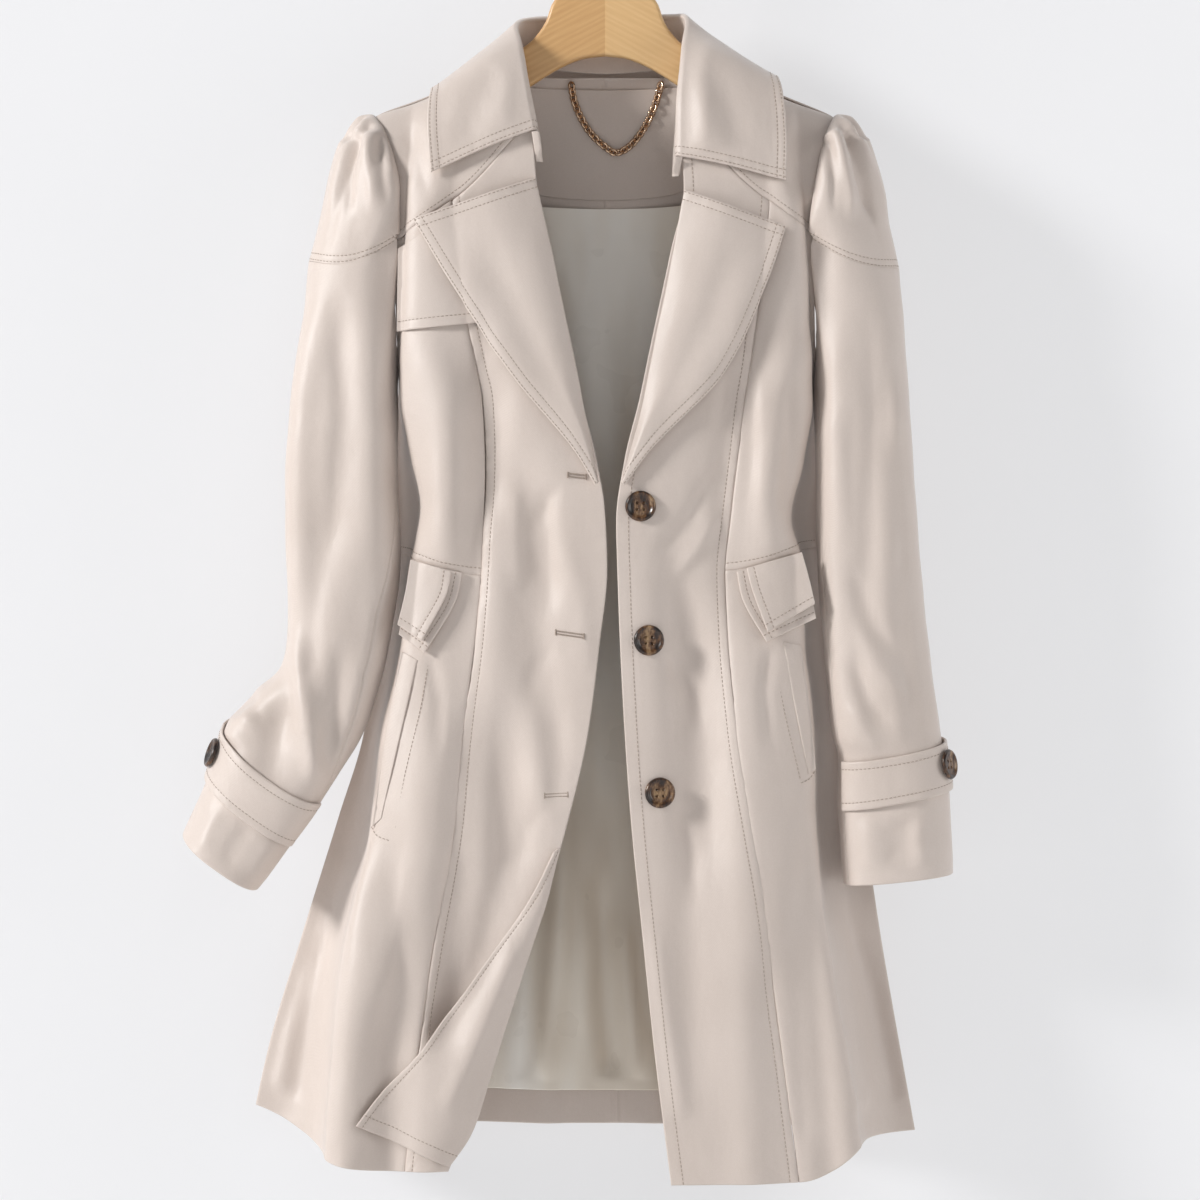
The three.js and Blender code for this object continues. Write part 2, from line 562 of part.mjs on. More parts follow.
function shellGeometry(outer, inner, nu, nv, turn) {
  const points = [];
  const index = (layer, i, j) => layer * (nu + 1) * (nv + 1) + i * (nv + 1) + j;
  for (const layer of [outer, inner]) {
    for (const column of layer) {
      for (const point of column) points.push(point.x, point.y, point.z);
    }
  }
  const faces = [];
  const quad = (a, b, c, d) => {
    if (turn > 0) {
      faces.push(a, b, c, a, c, d);
    } else {
      faces.push(a, c, b, a, d, c);
    }
  };
  for (let i = 0; i < nu; i += 1) {
    for (let j = 0; j < nv; j += 1) {
      quad(index(0, i, j), index(0, i + 1, j), index(0, i + 1, j + 1), index(0, i, j + 1));
      quad(index(1, i, j), index(1, i, j + 1), index(1, i + 1, j + 1), index(1, i + 1, j));
    }
    quad(index(1, i, 0), index(1, i + 1, 0), index(0, i + 1, 0), index(0, i, 0));
    quad(index(0, i, nv), index(0, i + 1, nv), index(1, i + 1, nv), index(1, i, nv));
  }
  for (let j = 0; j < nv; j += 1) {
    quad(index(0, 0, j), index(0, 0, j + 1), index(1, 0, j + 1), index(1, 0, j));
    quad(index(1, nu, j), index(1, nu, j + 1), index(0, nu, j + 1), index(0, nu, j));
  }
  const geometry = new THREE.BufferGeometry();
  geometry.setAttribute('position', new THREE.Float32BufferAttribute(points, 3));
  geometry.setIndex(faces);
  geometry.computeVertexNormals();
  return geometry;
}

function makeMesh(name, look, geometry) {
  const mesh = new THREE.Mesh(geometry, new THREE.MeshStandardMaterial(look));
  mesh.name = name;
  return mesh;
}

const coat = new THREE.Group();
const SIDES = ['left', 'right'];
// On the right the girth runs the other way, so its walls are wound the other way.
const mirrored = (side) => side === 'right';

// Heights shared by neighbouring panels: row 0 yoke, 1 armpit, 2 waist, 3 hem.
function rowHeight(side, g, row) {
  const s = seamTrack[side];
  const marks = [s.yoke(g), s.armpit(g), s.waist(g), s.hem(g)];
  const i = clamp(Math.floor(row), 0, 2);
  return lerp(marks[i], marks[i + 1], row - i);
}

const UPPER_ROWS = 4;       // rows of facets from the yoke to the armpit
const MIDDLE_ROWS = 6;      // from the armpit to the waist
const LOWER_ROWS = 11;      // from the waist to the hem

function evenRows(t, first, last) {
  const counts = [UPPER_ROWS, MIDDLE_ROWS, LOWER_ROWS];
  const used = counts.slice(first, last);
  const total = used.reduce((sum, n) => sum + n, 0);
  let step = t * total;
  let row = first;
  for (const n of used) {
    if (step <= n + 1e-9) return row + step / n;
    step -= n;
    row += 1;
  }
  return last;
}

function bodyPanel(name, side, girth, rows, nu, spreadU) {
  const nv = [UPPER_ROWS, MIDDLE_ROWS, LOWER_ROWS].slice(rows[0], rows[1]).reduce((a, b) => a + b, 0);
  return wall(name, SHELL, (u, v) => {
    const g = lerp(girth[0], girth[1], u);
    return frontSkin(side, g, rowHeight(side, g, evenRows(v, rows[0], rows[1])));
  }, { nu, nv, thick: CLOTH, spreadU, flip: mirrored(side), past: true });
}

// The side panels bend most at the ridge, so their columns crowd there.
function crowdRidge(u) {
  const stops = [0, 0.17, 0.32, 0.43, 0.5, 0.57, 0.68, 0.84, 1];
  const at = u * (stops.length - 1);
  const i = Math.min(Math.floor(at), stops.length - 2);
  return lerp(stops[i], stops[i + 1], at - i);
}

function addFronts() {
  for (const side of SIDES) {
    coat.add(bodyPanel(`front_${side}`, side, [0, 1], [0, 3], 7));
    coat.add(bodyPanel(`side_front_upper_${side}`, side, [1, 3], [0, 2], 8, crowdRidge));
    coat.add(bodyPanel(`side_front_lower_${side}`, side, [1, 3], [2, 3], 8, crowdRidge));
  }
}

function addYokes() {
  for (const side of SIDES) {
    coat.add(wall(`yoke_${side}`, SHELL, (u, v) => {
      const top = shoulderPoint(side, u);
      const g = 3 * u;
      const low = frontSkin(side, g, seamTrack[side].yoke(g));
      const z = lerp(top[2], low[2], v);
      const edgeX = armholeTrack[side](z);
      const x = lerp(lerp(top[0], low[0], v), edgeX, Math.pow(u, 8));
      const y = lerp(top[1], low[1], Math.sqrt(2 * v - v * v));
      return [x, y, z];
    }, {
      nu: 15, nv: 5, thick: CLOTH, trim: 0.4, spreadU: yokeColumns, spreadV: (t) => t * t, flip: mirrored(side),
    }));
  }
}

// The yoke's columns meet those of the panels below it.
function yokeColumns(t) {
  const column = Math.round(t * 15);
  return (column <= 7 ? column / 7 : 1 + 2 * crowdRidge((column - 7) / 8)) / 3;
}

function addBacks() {
  const nv = UPPER_ROWS + 2 + MIDDLE_ROWS + LOWER_ROWS;
  const pitStep = (UPPER_ROWS + 2) / nv;
  const waistStep = (UPPER_ROWS + 2 + MIDDLE_ROWS) / nv;
  for (const side of SIDES) {
    const s = seamTrack[side];
    const waistRow = 1 + (ARMPIT_Z - s.waist(3)) / (ARMPIT_Z - s.hem(3));
    coat.add(wall(`back_${side}`, SHELL, (u, v) => {
      let row;
      if (v <= pitStep + 1e-9) {
        row = Math.pow(v / pitStep, 1.5);
      } else if (v <= waistStep + 1e-9) {
        row = lerp(1, waistRow, (v - pitStep) / (waistStep - pitStep));
      } else {
        row = lerp(waistRow, 2, (v - waistStep) / (1 - waistStep));
      }
      return backSkin(side, u, Math.min(row, 2));
    }, { nu: 9, nv, thick: CLOTH, flip: !mirrored(side), spreadU: (t) => 1 - Math.pow(1 - t, 1.25) }));
  }
}

addFronts();
addYokes();
addBacks();

function addSleeves() {
  const last = SLEEVE.left.length;
  for (const side of SIDES) {
    const flip = mirrored(side);
    coat.add(wall(`sleeve_cap_${side}`, SHELL, (u, v) => capSkin(side, lerp(-0.96, 0.96, u), v), {
      nu: 18, nv: 6, thick: CLOTH, flip, spreadV: (t) => Math.pow(t, 1.4),
    }));
    coat.add(wall(`sleeve_upper_${side}`, SHELL, (u, v) => {
      const ring = v * last;
      return sleeveSkin(side, lerp(BACK_SEAM - 360, seamAngle(side, ring), u), ring);
    }, { nu: 12, nv: 16, thick: CLOTH, flip }));
    coat.add(wall(`sleeve_under_${side}`, SHELL, (u, v) => {
      const ring = v * last;
      return sleeveSkin(side, lerp(seamAngle(side, ring), BACK_SEAM, u), ring);
    }, { nu: 5, nv: 16, thick: CLOTH, trim: 0.3, flip }));
  }
}

addSleeves();

// Collar: a row for each station from the left end round the neck to the right end. n foot of the stand,
// r roll line, e outer edge.
const COLLAR = [
  { nx: -54, ny: -45, nz: -234, rx: -58, ry: -54, rz: -207, ex: -142, ey: -52, ez: -242 },
  { nx: -59, ny: -40, nz: -205, rx: -64, ry: -47, rz: -176, ex: -145, ey: -47, ez: -205 },
  { nx: -76, ny: -26, nz: -172, rx: -71, ry: -27, rz: -135, ex: -144, ey: -30, ez: -176 },
  { nx: -83, ny: -3, nz: -148, rx: -74, ry: -2, rz: -114, ex: -139, ey: 10, ez: -169 },
  { nx: -65, ny: 18, nz: -150, rx: -58, ry: 20, rz: -107, ex: -100, ey: 44, ez: -182 },
  { nx: 0, ny: 28, nz: -155, rx: 0, ry: 32, rz: -106, ex: 0, ey: 54, ez: -186 },
  { nx: 65, ny: 18, nz: -150, rx: 55, ry: 20, rz: -105, ex: 100, ey: 44, ez: -180 },
  { nx: 83, ny: -3, nz: -147, rx: 68, ry: -2, rz: -109, ex: 138, ey: 10, ez: -161 },
  { nx: 76, ny: -26, nz: -172, rx: 66, ry: -27, rz: -135, ex: 144, ey: -30, ez: -166 },
  { nx: 61, ny: -41, nz: -212, rx: 62, ry: -47, rz: -182, ex: 148, ey: -47, ez: -205 },
  { nx: 58, ny: -45, nz: -246, rx: 61, ry: -54, rz: -229, ex: 147.6, ey: -52, ez: -248 },
];

function collarSkin(u, v) {
  const at = (x, y, z) => line(COLLAR.map((row) => [row[x], row[y], row[z]]))(u);
  const roll = at('rx', 'ry', 'rz');
  const edge = at('ex', 'ey', 'ez');
  const round = Math.sin(Math.PI * Math.min(1, v * 1.15)) * 6;
  const facing = Math.sin(Math.PI * u);
  const back = smooth((facing - 0.6) / 0.3);
  return [
    lerp(roll[0], edge[0], v),
    lerp(roll[1], edge[1], v) + lerp(-round * 0.5, round, back),
    lerp(roll[2], edge[2], v) + round * 0.2 * (1 - back),
  ];
}

// The stand lies inside the fall, drawn in towards the neck.
const STAND = { inset: 4.5, top: 0.87, foot: 1.2 };

function standSkin(u, v) {
  const at = (x, y, z) => line(COLLAR.map((row) => [row[x], row[y], row[z]]))(u);
  const foot = at('nx', 'ny', 'nz');
  const roll = at('rx', 'ry', 'rz');
  const p = [0, 1, 2].map((k) => lerp(foot[k], roll[k], v * STAND.top));
  const reach = Math.hypot(p[0], p[1] + 5);
  return [p[0] - STAND.inset * p[0] / reach, p[1] - STAND.inset * (p[1] + 5) / reach, p[2] + STAND.foot];
}

function addCollar() {
  coat.add(wall('collar_fall', SHELL, collarSkin, { nu: 26, nv: 4, thick: DOUBLE }));
  coat.add(wall('collar_stand', SHELL_INNER, (u, v) => standSkin(lerp(0.02, 0.98, u), v), {
    nu: 20, nv: 2, thick: CLOTH, trim: 0.5,
  }));
}

// Lapels: outer edge from the notch, along the top to the tip and down to the break.
const LAPEL = {
  left: {
    roll: [[-56, -246], [-45, -297], [-30, -372], [-16, -436], [-5, -494]],
    edge: [[-157, -280], [-123, -336], [-70, -414], [-25, -469], [-8, -497]],
  },
  right: {
    roll: [[64, -256], [56, -300], [42, -372], [28, -440], [13, -494]],
    edge: [[147.6, -286], [132, -331], [97, -404], [35, -471], [16, -497]],
  },
};
const LAPEL_LIFT = { roll: 3.2, crest: 7, edge: 8 };

function lapelPoint(side, u, v) {
  const shape = LAPEL[side];
  const [rx, rz] = line(shape.roll)(v);
  const [ex, ez] = line(shape.edge)(v);
  const lift = lerp(LAPEL_LIFT.roll, LAPEL_LIFT.edge, smooth(u * 2.2)) * lerp(1, 0.8, smooth(v * 3 - 2))
    + LAPEL_LIFT.crest * Math.sin(Math.PI * Math.pow(u, 0.7)) * (1 - smooth(v * 1.5 - 0.5)) * 0.6;
  return onFront(side, lerp(rx, ex, u), lerp(rz, ez, u), lift, 2);
}

function addLapels() {
  for (const side of SIDES) {
    coat.add(wall(`lapel_${side}`, SHELL, (u, v) => lapelPoint(side, u, v), {
      nu: 5, nv: 11, thick: DOUBLE, flip: mirrored(side),
    }));
  }
}

// A piece that lies on a front, between two borders in x, z, stood off by a lift at each corner.
function laidOn(name, side, inner, outer, lifts, size) {
  const a = line(inner);
  const b = line(outer);
  coat.add(wall(name, SHELL, (u, v) => {
    const [ax, az] = a(v);
    const [bx, bz] = b(v);
    const lift = lerp(lerp(lifts.top, lifts.bottom, v), lerp(lifts.outerTop, lifts.outerBottom, v), u);
    return onFront(side, lerp(ax, bx, u), lerp(az, bz, u), lift, size.level);
  }, { ...size, flip: mirrored(side) }));
}

// Turned corner of the left front: it folds back over the front from the fold line.
const CORNER_FOLD = [[-36, -792], [-46, -833], [-57, -867], [-74, -918], [-90, -970], [-108, -1025], [-126, -1052]];
const CORNER_EDGE = [[-41, -796], [-62, -834], [-90, -874], [-127, -925], [-152, -959], [-180, -989], [-202, -1017]];

function addTurnedCorner() {
  const fold = line(CORNER_FOLD);
  const edge = line(CORNER_EDGE);
  coat.add(wall('turned_corner', SHELL_INNER, (u, v) => {
    const [fx, fz] = fold(v);
    const [ex, ez] = edge(v);
    const open = Math.sin(Math.PI * Math.pow(u, 0.6)) * 4 * smooth(v * 4) + 3.4 + 3.6 * u;
    return onFront('left', lerp(fx, ex, u), lerp(fz, ez, u), open, 2);
  }, { nu: 6, nv: 12, thick: DOUBLE, flip: false }));
}

const STORM_FLAP = {
  inner: [[-115, -272], [-104, -322], [-98, -364]],
  outer: [[-169, -303], [-169.5, -338], [-170, -371]],
};
const FLAPS = {
  left: {
    under: { inner: [[-116, -568], [-122, -592], [-147, -633]], outer: [[-158, -558], [-163, -590], [-168, -618]] },
    upper: { inner: [[-125, -567], [-128, -583], [-149, -623]], outer: [[-158.5, -557], [-163, -585], [-169, -610]] },
  },
  right: {
    under: { inner: [[107, -567], [112, -590], [131, -624]], outer: [[160, -552], [167, -580], [172, -605]] },
    upper: { inner: [[115, -564], [119, -580], [132, -616]], outer: [[160.5, -551], [167, -575], [171, -593]] },
  },
};
const WELTS = {
  left: { inner: [[-153, -639], [-165, -695], [-182, -768]], outer: [[-166, -632], [-178, -695], [-190, -775]] },
  right: { inner: [[145, -624], [153, -669], [166, -732]], outer: [[160, -627], [166, -669], [172, -728]] },
};

function addLaidPieces() {
  laidOn('storm_flap', 'left', STORM_FLAP.inner, STORM_FLAP.outer,
    { top: 2.2, bottom: 4.2, outerTop: 2.2, outerBottom: 4.2 }, { nu: 5, nv: 5, thick: CLOTH, level: 2 });
  for (const side of SIDES) {
    const flap = FLAPS[side];
    laidOn(`pocket_flap_under_${side}`, side, flap.under.inner, flap.under.outer,
      { top: 2.4, bottom: 7, outerTop: 2.4, outerBottom: 6 }, { nu: 4, nv: 4, thick: CLOTH, level: 1.75 });
    laidOn(`pocket_flap_upper_${side}`, side, flap.upper.inner, flap.upper.outer,
      { top: 5, bottom: 12, outerTop: 5, outerBottom: 9.5 }, { nu: 4, nv: 4, thick: CLOTH, level: 1.75 });
    const welt = WELTS[side];
    laidOn(`pocket_welt_${side}`, side, welt.inner, welt.outer,
      { top: 2.2, bottom: 2.2, outerTop: 2.2, outerBottom: 2.2 }, { nu: 2, nv: 8, thick: CLOTH, level: 1.86 });
  }
}

// Cuff straps: bands round the sleeve just above the cuff, from the seam to past the button.
const STRAP_LIFT = 2.8;

function strapPoint(side, angle, ring, lift) {
  const p = sleeveSkin(side, angle, ring);
  const row = SLEEVE[side][clamp(Math.round(ring) - 1, 0, SLEEVE[side].length - 1)];
  const a = degrees(angle);
  const out = new THREE.Vector3(row.ox - row.ix, 0, row.oz - row.iz).normalize();
  return [
    p[0] + lift * Math.cos(a) * out.x,
    p[1] - lift * Math.sin(a),
    p[2] + lift * Math.cos(a) * out.z,
  ];
}

function addStraps() {
  for (const side of SIDES) {
    const start = seamAngle(side, STRAP_ROWS.top) - 4;
    coat.add(wall(`cuff_strap_${side}`, SHELL, (u, v) => {
      const ring = lerp(STRAP_ROWS.top, STRAP_ROWS.bottom, v);
      return strapPoint(side, lerp(STRAP_END, start, u), ring, STRAP_LIFT);
    }, { nu: 14, nv: 2, thick: DOUBLE, flip: mirrored(side) }));
  }
}

// Inside of the back: the neck facing above and the lining below it.
const FACING_DROP = 0.42;   // share of the back's upper row that the neck facing covers
const FACING_WIDTH = 0.29;
const LINING = { top: 0.45, bottom: 1.955, width: 0.8 };
const FACING_GAP = 1;
const LINING_GAP = { sewn: 0.8, free: 5.5 };

function insideBack(t, row, inset) {
  const side = t < 0 ? 'left' : 'right';
  const p = backSkin(side, Math.abs(t), row);
  return [p[0] * (1 - inset * 0.004), p[1] - CLOTH - inset, p[2]];
}

function addInside() {
  coat.add(wall('back_neck_facing', SHELL_INNER, (u, v) => {
    const t = lerp(-FACING_WIDTH, FACING_WIDTH, u);
    const p = insideBack(t, lerp(0.03, FACING_DROP - 0.25 * t * t, v), FACING_GAP);
    return [p[0], p[1], p[2] - 3 * (1 - v)];
  }, { nu: 14, nv: 3, thick: 1.2, flip: false }));
  coat.add(wall('back_lining', SATIN, (u, v) => {
    const t = lerp(-LINING.width, LINING.width, u);
    const row = lerp(LINING.top, LINING.bottom, v);
    const loose = Math.max(smooth(v * 5), smooth(Math.abs(t) * 4));
    const sag = 2 * Math.sin(t * 14) * loose;
    const p = insideBack(t, row, LINING_GAP.sewn + LINING_GAP.free * loose);
    return [p[0], p[1] + sag, p[2]];
  }, { nu: 12, nv: 14, thick: 1, flip: false }));
}

// Buttons: a rimmed disc, turned on a lathe
function buttonGeometry() {
  const r = BUTTON / 2;
  const t = BUTTON_THICK;
  const profile = [[0, 0], [r * 0.72, 0], [r, t * 0.5], [r * 0.98, t * 0.85], [r * 0.86, t], [r * 0.66, t * 0.72],
    [0, t * 0.6]];
  const geometry = new THREE.LatheGeometry(profile.map(([x, y]) => new THREE.Vector2(x, y)), 16);
  return geometry;
}

function addButton(name, point, normal, lift) {
  const button = makeMesh(name, HORN, buttonGeometry());
  button.quaternion.setFromUnitVectors(new THREE.Vector3(0, 1, 0), normal);
  button.position.copy(point.addScaledVector(normal, lift));
  coat.add(button);
}

const FRONT_BUTTONS = [{ x: 28.7, z: -513.7 }, { x: 35.3, z: -622.8 }, { x: 44.3, z: -746.6 }];
const FRONT_BUTTON_LIFT = 0.45;
const CUFF_BUTTON_LIFT = 2.6;
const CUFF_BUTTON = { left: { angle: 8, ring: 8.5 }, right: { angle: 24, ring: 8.5 } };

function addButtons() {
  FRONT_BUTTONS.forEach(({ x, z }, i) => {
    const spot = (dx, dz) => new THREE.Vector3(...onFront('right', x + dx, z + dz, 0));
    const across = spot(8, 0).sub(spot(-8, 0));
    const down = spot(0, -8).sub(spot(0, 8));
    const normal = down.cross(across).normalize();
    if (normal.y > 0) normal.negate();
    addButton(`front_button_${i + 1}`, spot(0, 0), normal, FRONT_BUTTON_LIFT);
  });
  for (const side of SIDES) {
    const { angle, ring } = CUFF_BUTTON[side];
    const spot = (a, r) => new THREE.Vector3(...strapPoint(side, angle + a, ring + r, STRAP_LIFT));
    const normal = spot(9, 0).sub(spot(-9, 0)).cross(spot(0, 0.3).sub(spot(0, -0.3))).normalize();
    if (normal.x * outward(side) < 0) normal.negate();
    addButton(`cuff_button_${side}`, spot(0, 0), normal, CUFF_BUTTON_LIFT);
  }
}

// Hanger: a flat wooden yoke with a wire hook
const HANGER_HALF = {
  neck: [[-7, -72], [-20, -77], [-33, -88], [-43, -98], [-49, -114], [-59, -128], [-70, -137]],
  arm: [[-71.5, -141], [-82, -163], [-120, -177], [-176, -201], [-180, -208], [-176, -213], [-120, -194], [-84, -181]],
  arch: [[-61, -167], [-49, -159], [-36, -151.5], [-19, -144.5], [0, -142]],
};

function addHanger() {
  const half = [...HANGER_HALF.neck, ...HANGER_HALF.arm, ...HANGER_HALF.arch];
  const mirror = half.slice(0, -1).map(([x, z]) => [-x, z]).reverse();
  const outline = new THREE.Shape([...half, ...mirror].map(([x, z]) => new THREE.Vector2(x, z)));
  const geometry = new THREE.ExtrudeGeometry(outline, {
    depth: HANGER_THICK - 3, bevelEnabled: true, bevelThickness: 1.5, bevelSize: 1.2, bevelOffset: -1.2,
    bevelSegments: 1,
  });
  const hanger = makeMesh('hanger', WOOD, geometry);
  hanger.rotation.x = Math.PI / 2;
  hanger.position.y = HANGER_THICK / 2 - 1.5;
  coat.add(hanger);
}

function circleShape(radius, sides) {
  const shape = new THREE.Shape();
  for (let i = 0; i < sides; i += 1) {
    const a = (2 * Math.PI * i) / sides;
    const x = radius * Math.cos(a);
    const y = radius * Math.sin(a);
    if (i === 0) {
      shape.moveTo(x, y);
    } else {
      shape.lineTo(x, y);
    }
  }
  shape.closePath();
  return shape;
}

function tubeAlong(name, look, points, radius, steps, sides) {
  const path = new THREE.CatmullRomCurve3(points.map((p) => new THREE.Vector3(...p)), false, 'centripetal');
  const geometry = new THREE.ExtrudeGeometry(circleShape(radius, sides), { steps, extrudePath: path });
  return makeMesh(name, look, geometry);
}

function addHook() {
  const r = HOOK_INNER + WIRE / 2;
  const points = [[0, 0, HANGER_NECK_Z + 0.3], [0, 0, -60], [6, 0, -48.5]];
  for (let a = -48; a <= 205; a += 23) {
    points.push([r * Math.cos(degrees(a)), 0, -HOOK_INNER + r * Math.sin(degrees(a))]);
  }
  coat.add(tubeAlong('hook', STEEL, points, WIRE / 2, 34, 8));
}

// Hang chain: a loop between two ends sewn in at the foot of the collar stand.
const CHAIN_ROUTE = [
  [-28, 21.1, -162], [-25, 22.6, -178], [-14, 24.7, -200], [0, 26.3, -214], [9, 26.8, -219], [20, 26.3, -214],
  [33, 24, -198], [42, 21.3, -178], [46.5, 19.2, -162],
];
const CHAIN_WIDE = 4.6;

function addChain() {
  coat.add(tubeAlong('hang_chain', BRASS, CHAIN_ROUTE, CHAIN_WIDE / 2, 26, 6));
}

addCollar();
addLapels();
addTurnedCorner();
addLaidPieces();
addStraps();
addInside();
addButtons();
addHanger();
addHook();
addChain();

export default coat;
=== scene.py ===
# Trench coat on a wooden hanger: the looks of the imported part.
# Tables and surfaces are in millimetres, and meshes are in metres. The coat's front faces -Y, +Z is up.
# "left" and "right" are as seen from the front.

import math

import bpy
import numpy as np
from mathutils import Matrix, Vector


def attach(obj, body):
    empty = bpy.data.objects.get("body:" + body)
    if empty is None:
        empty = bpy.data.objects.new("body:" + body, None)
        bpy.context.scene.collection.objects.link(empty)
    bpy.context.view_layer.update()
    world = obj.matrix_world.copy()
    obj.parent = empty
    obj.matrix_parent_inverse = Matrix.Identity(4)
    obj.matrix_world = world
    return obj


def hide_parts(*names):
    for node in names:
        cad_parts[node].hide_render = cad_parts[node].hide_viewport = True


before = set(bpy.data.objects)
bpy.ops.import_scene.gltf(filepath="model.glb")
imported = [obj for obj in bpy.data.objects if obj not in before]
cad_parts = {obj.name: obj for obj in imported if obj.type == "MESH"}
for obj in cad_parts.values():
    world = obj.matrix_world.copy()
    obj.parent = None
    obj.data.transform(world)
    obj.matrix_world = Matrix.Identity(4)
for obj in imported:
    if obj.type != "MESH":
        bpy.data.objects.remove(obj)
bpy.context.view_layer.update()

MM = 0.001

# Cloth and seams
CLOTH = 1.6                 # one layer of coat cloth with its seam allowance
DOUBLE = 2.4                # collar, lapels and facings
PLY = 1.9                   # one layer and the clearance to the next

# Heights and depths of the body
RIDGE_TOP = -4              # the armhole's top, measured from front to back
SHOULDER_Z = -196           # height of the sleeve head
ARMPIT_Z = -397
YOKE_Z = -297               # where the yoke seam meets the armhole
BACK_HEM_Z = -1026
ARMHOLE_FRONT = -32
ARMHOLE_BACK = 20
ARMPIT_Y = -5
NECK_BACK_Z = -157          # middle of the neck at the back
NECK_BACK_Y = 29
NECK_MIDDLE_Y = -5
NECK_SHARE = 0.36           # share of a back's top that is neck
BACK_SIDE_Y = 24            # depth of the shoulder blades near the armhole
BACK_ROUND = 2.6            # how late the back turns to the side

# Sleeves: turns in degrees from the outer side towards the front, rows of the sleeve tables from the top
ARMHOLE_GAP = 2.3
ARMHOLE_LAP = 2.2
SLEEVE_STAND = 3.7
CAP_FRONT_Y = -44
CAP_BACK_Y = 24
CAP_LAP = 0.1               # how far the cap's lower border passes its seam
CAP_TURN = 120              # half of the cap's turn round the arm
CORNER = 130                # where the cap seam meets the armhole
BACK_SEAM = 236             # the under sleeve's rear seam
STRAP_TOP = 8
STRAP_BOTTOM = 9
STRAP_END = -38
STRAP_LIFT = 2.8

# Collar, lapels and inside. A rolled edge takes a share of its surface and bows out.
ROLL = dict(share=0.05, bow=3.0, across=6.0, forward=4.0)
LAPEL_LIFT = dict(roll=3.2, crest=7, edge=8)
STAND = dict(inset=4.5, top=0.87, foot=1.2)
FACING = dict(width=0.29, drop=0.42, gap=1.0, thick=1.2)
LINING = dict(top=0.45, bottom=1.955, width=0.8, sewn=0.8, free=5.5, thick=1.0)

# Hanger and buttons
WIRE = 4
HOOK_INNER = 20
HANGER_THICK = 12
HANGER_NECK_Z = -72
BUTTON = 25
BUTTON_THICK = 4.2
BUTTON_LIFT = 0.45          # a front button's foot over the cloth
CUFF_BUTTON_LIFT = 2.6      # a cuff button's foot over the strap's inner face

# The front view's plan, on which creases and stitches are placed: scale in mm, middle and top edge
PLAN_PIXEL = 0.82
PLAN_MIDDLE = 605
PLAN_TOP = -98
CREASE_DEPTH = 1.6          # strength of every crease

# Girth of the fronts at each height: edge, princess seam, ridge, side
FRONT_KEYS = "z x0 y0 x1 y1 x2 y2 x3 y3".split()
FRONT = {
    "left": [
        (-150, -68, -36, -120, -30, -152, -22, -180, -10),
        (-195, -60, -45, -123, -38, -156, -30, -178, -22),
        (-246, -56, -50, -126, -44, -160, -36, -174, -30),
        (-303, -44, -52, -120, -48, -164, -36, -173, -32),
        (-364, -31, -54, -112, -50, -166, -36, -172, -24),
        (-397, -24, -55, -105, -50, -168, -35, -170, -5), (-426, -19, -56, -100, -49, -167, -34, -171, 10),
        (-475, -7, -56, -98, -47, -158, -33, -176, 24), (-517, 0, -55, -99, -45, -151, -32, -180, 27),
        (-566, 2, -54, -101, -44, -160, -32, -185, 28), (-623, -4, -54, -106, -46, -166, -33, -189, 28),
        (-700, -14, -54, -116, -48, -183, -33, -200, 27), (-770, -30, -53, -122, -50, -191, -32, -221, 26),
        (-870, -59, -49, -139, -51, -213, -34, -252, 24), (-957, -87, -46, -152, -51, -223, -38, -278, 22),
        (-1060, -129, -46, -164, -50, -230, -40, -300, 20),
    ],
    "right": [
        (-150, 69, -36, 128, -30, 158, -22, 182, -10), (-195, 62, -45, 130, -38, 160, -30, 180, -22),
        (-256, 64, -50, 134, -44, 162, -36, 174, -30), (-303, 54, -52, 130, -48, 164, -36, 170, -32),
        (-364, 41, -54, 123, -50, 167, -36, 172, -24), (-397, 34, -55, 119, -50, 170, -35, 173, -5),
        (-426, 28, -56, 114, -49, 170, -34, 176, 10), (-475, 16, -57, 108, -47, 163, -33, 182, 24),
        (-526, 9, -58, 102, -45, 153, -32, 187, 27), (-566, 10, -58, 98, -44, 163, -32, 190, 28),
        (-623, 12, -58, 100, -46, 163, -33, 194, 28), (-700, 16, -58, 107, -48, 171, -33, 203, 27),
        (-770, 21, -58, 117, -50, 173, -32, 214, 26), (-870, 31, -57, 132, -52, 181, -34, 229, 24),
        (-957, 40, -56, 144, -52, 196, -38, 244, 22), (-1068, 54, -55, 158, -51, 215, -40, 264, 20),
    ],
}

# Seam heights along the girth of the fronts
SEAMS_KEYS = "g yoke armpit waist hem".split()
SEAMS = {
    "left": [
        (0, -195, -410, -574, -1056), (1, -264, -405, -570, -1056), (2, -290, -400, -556, -1046),
        (3, -297, -397, -550, -1008),
    ],
    "right": [
        (0, -195, -410, -570, -1066), (1, -264, -405, -566, -1064), (2, -285, -400, -550, -1036),
        (3, -290, -397, -545, -1029),
    ],
}

# Large folds of the fronts: x0 z0 x1 z1 width rise
FRONT_FOLDS = {
    "left": [
        (-142, -380, -128, -560, 18, 6), (-98, -360, -104, -600, 9, -3), (-70, -470, -44, -720, 17, -6),
        (-90, -500, -96, -820, 15, 4), (-205, -800, -214, -1050, 16, 6), (-166, -790, -176, -1060, 17, -9),
        (-120, -800, -128, -960, 15, -5),
    ],
    "right": [
        (148, -390, 134, -560, 15, 6), (100, -400, 92, -540, 9, -3), (58, -540, 74, -1000, 16, -5),
        (106, -600, 118, -1050, 18, 5), (160, -780, 182, -1040, 12, -6),
    ],
}

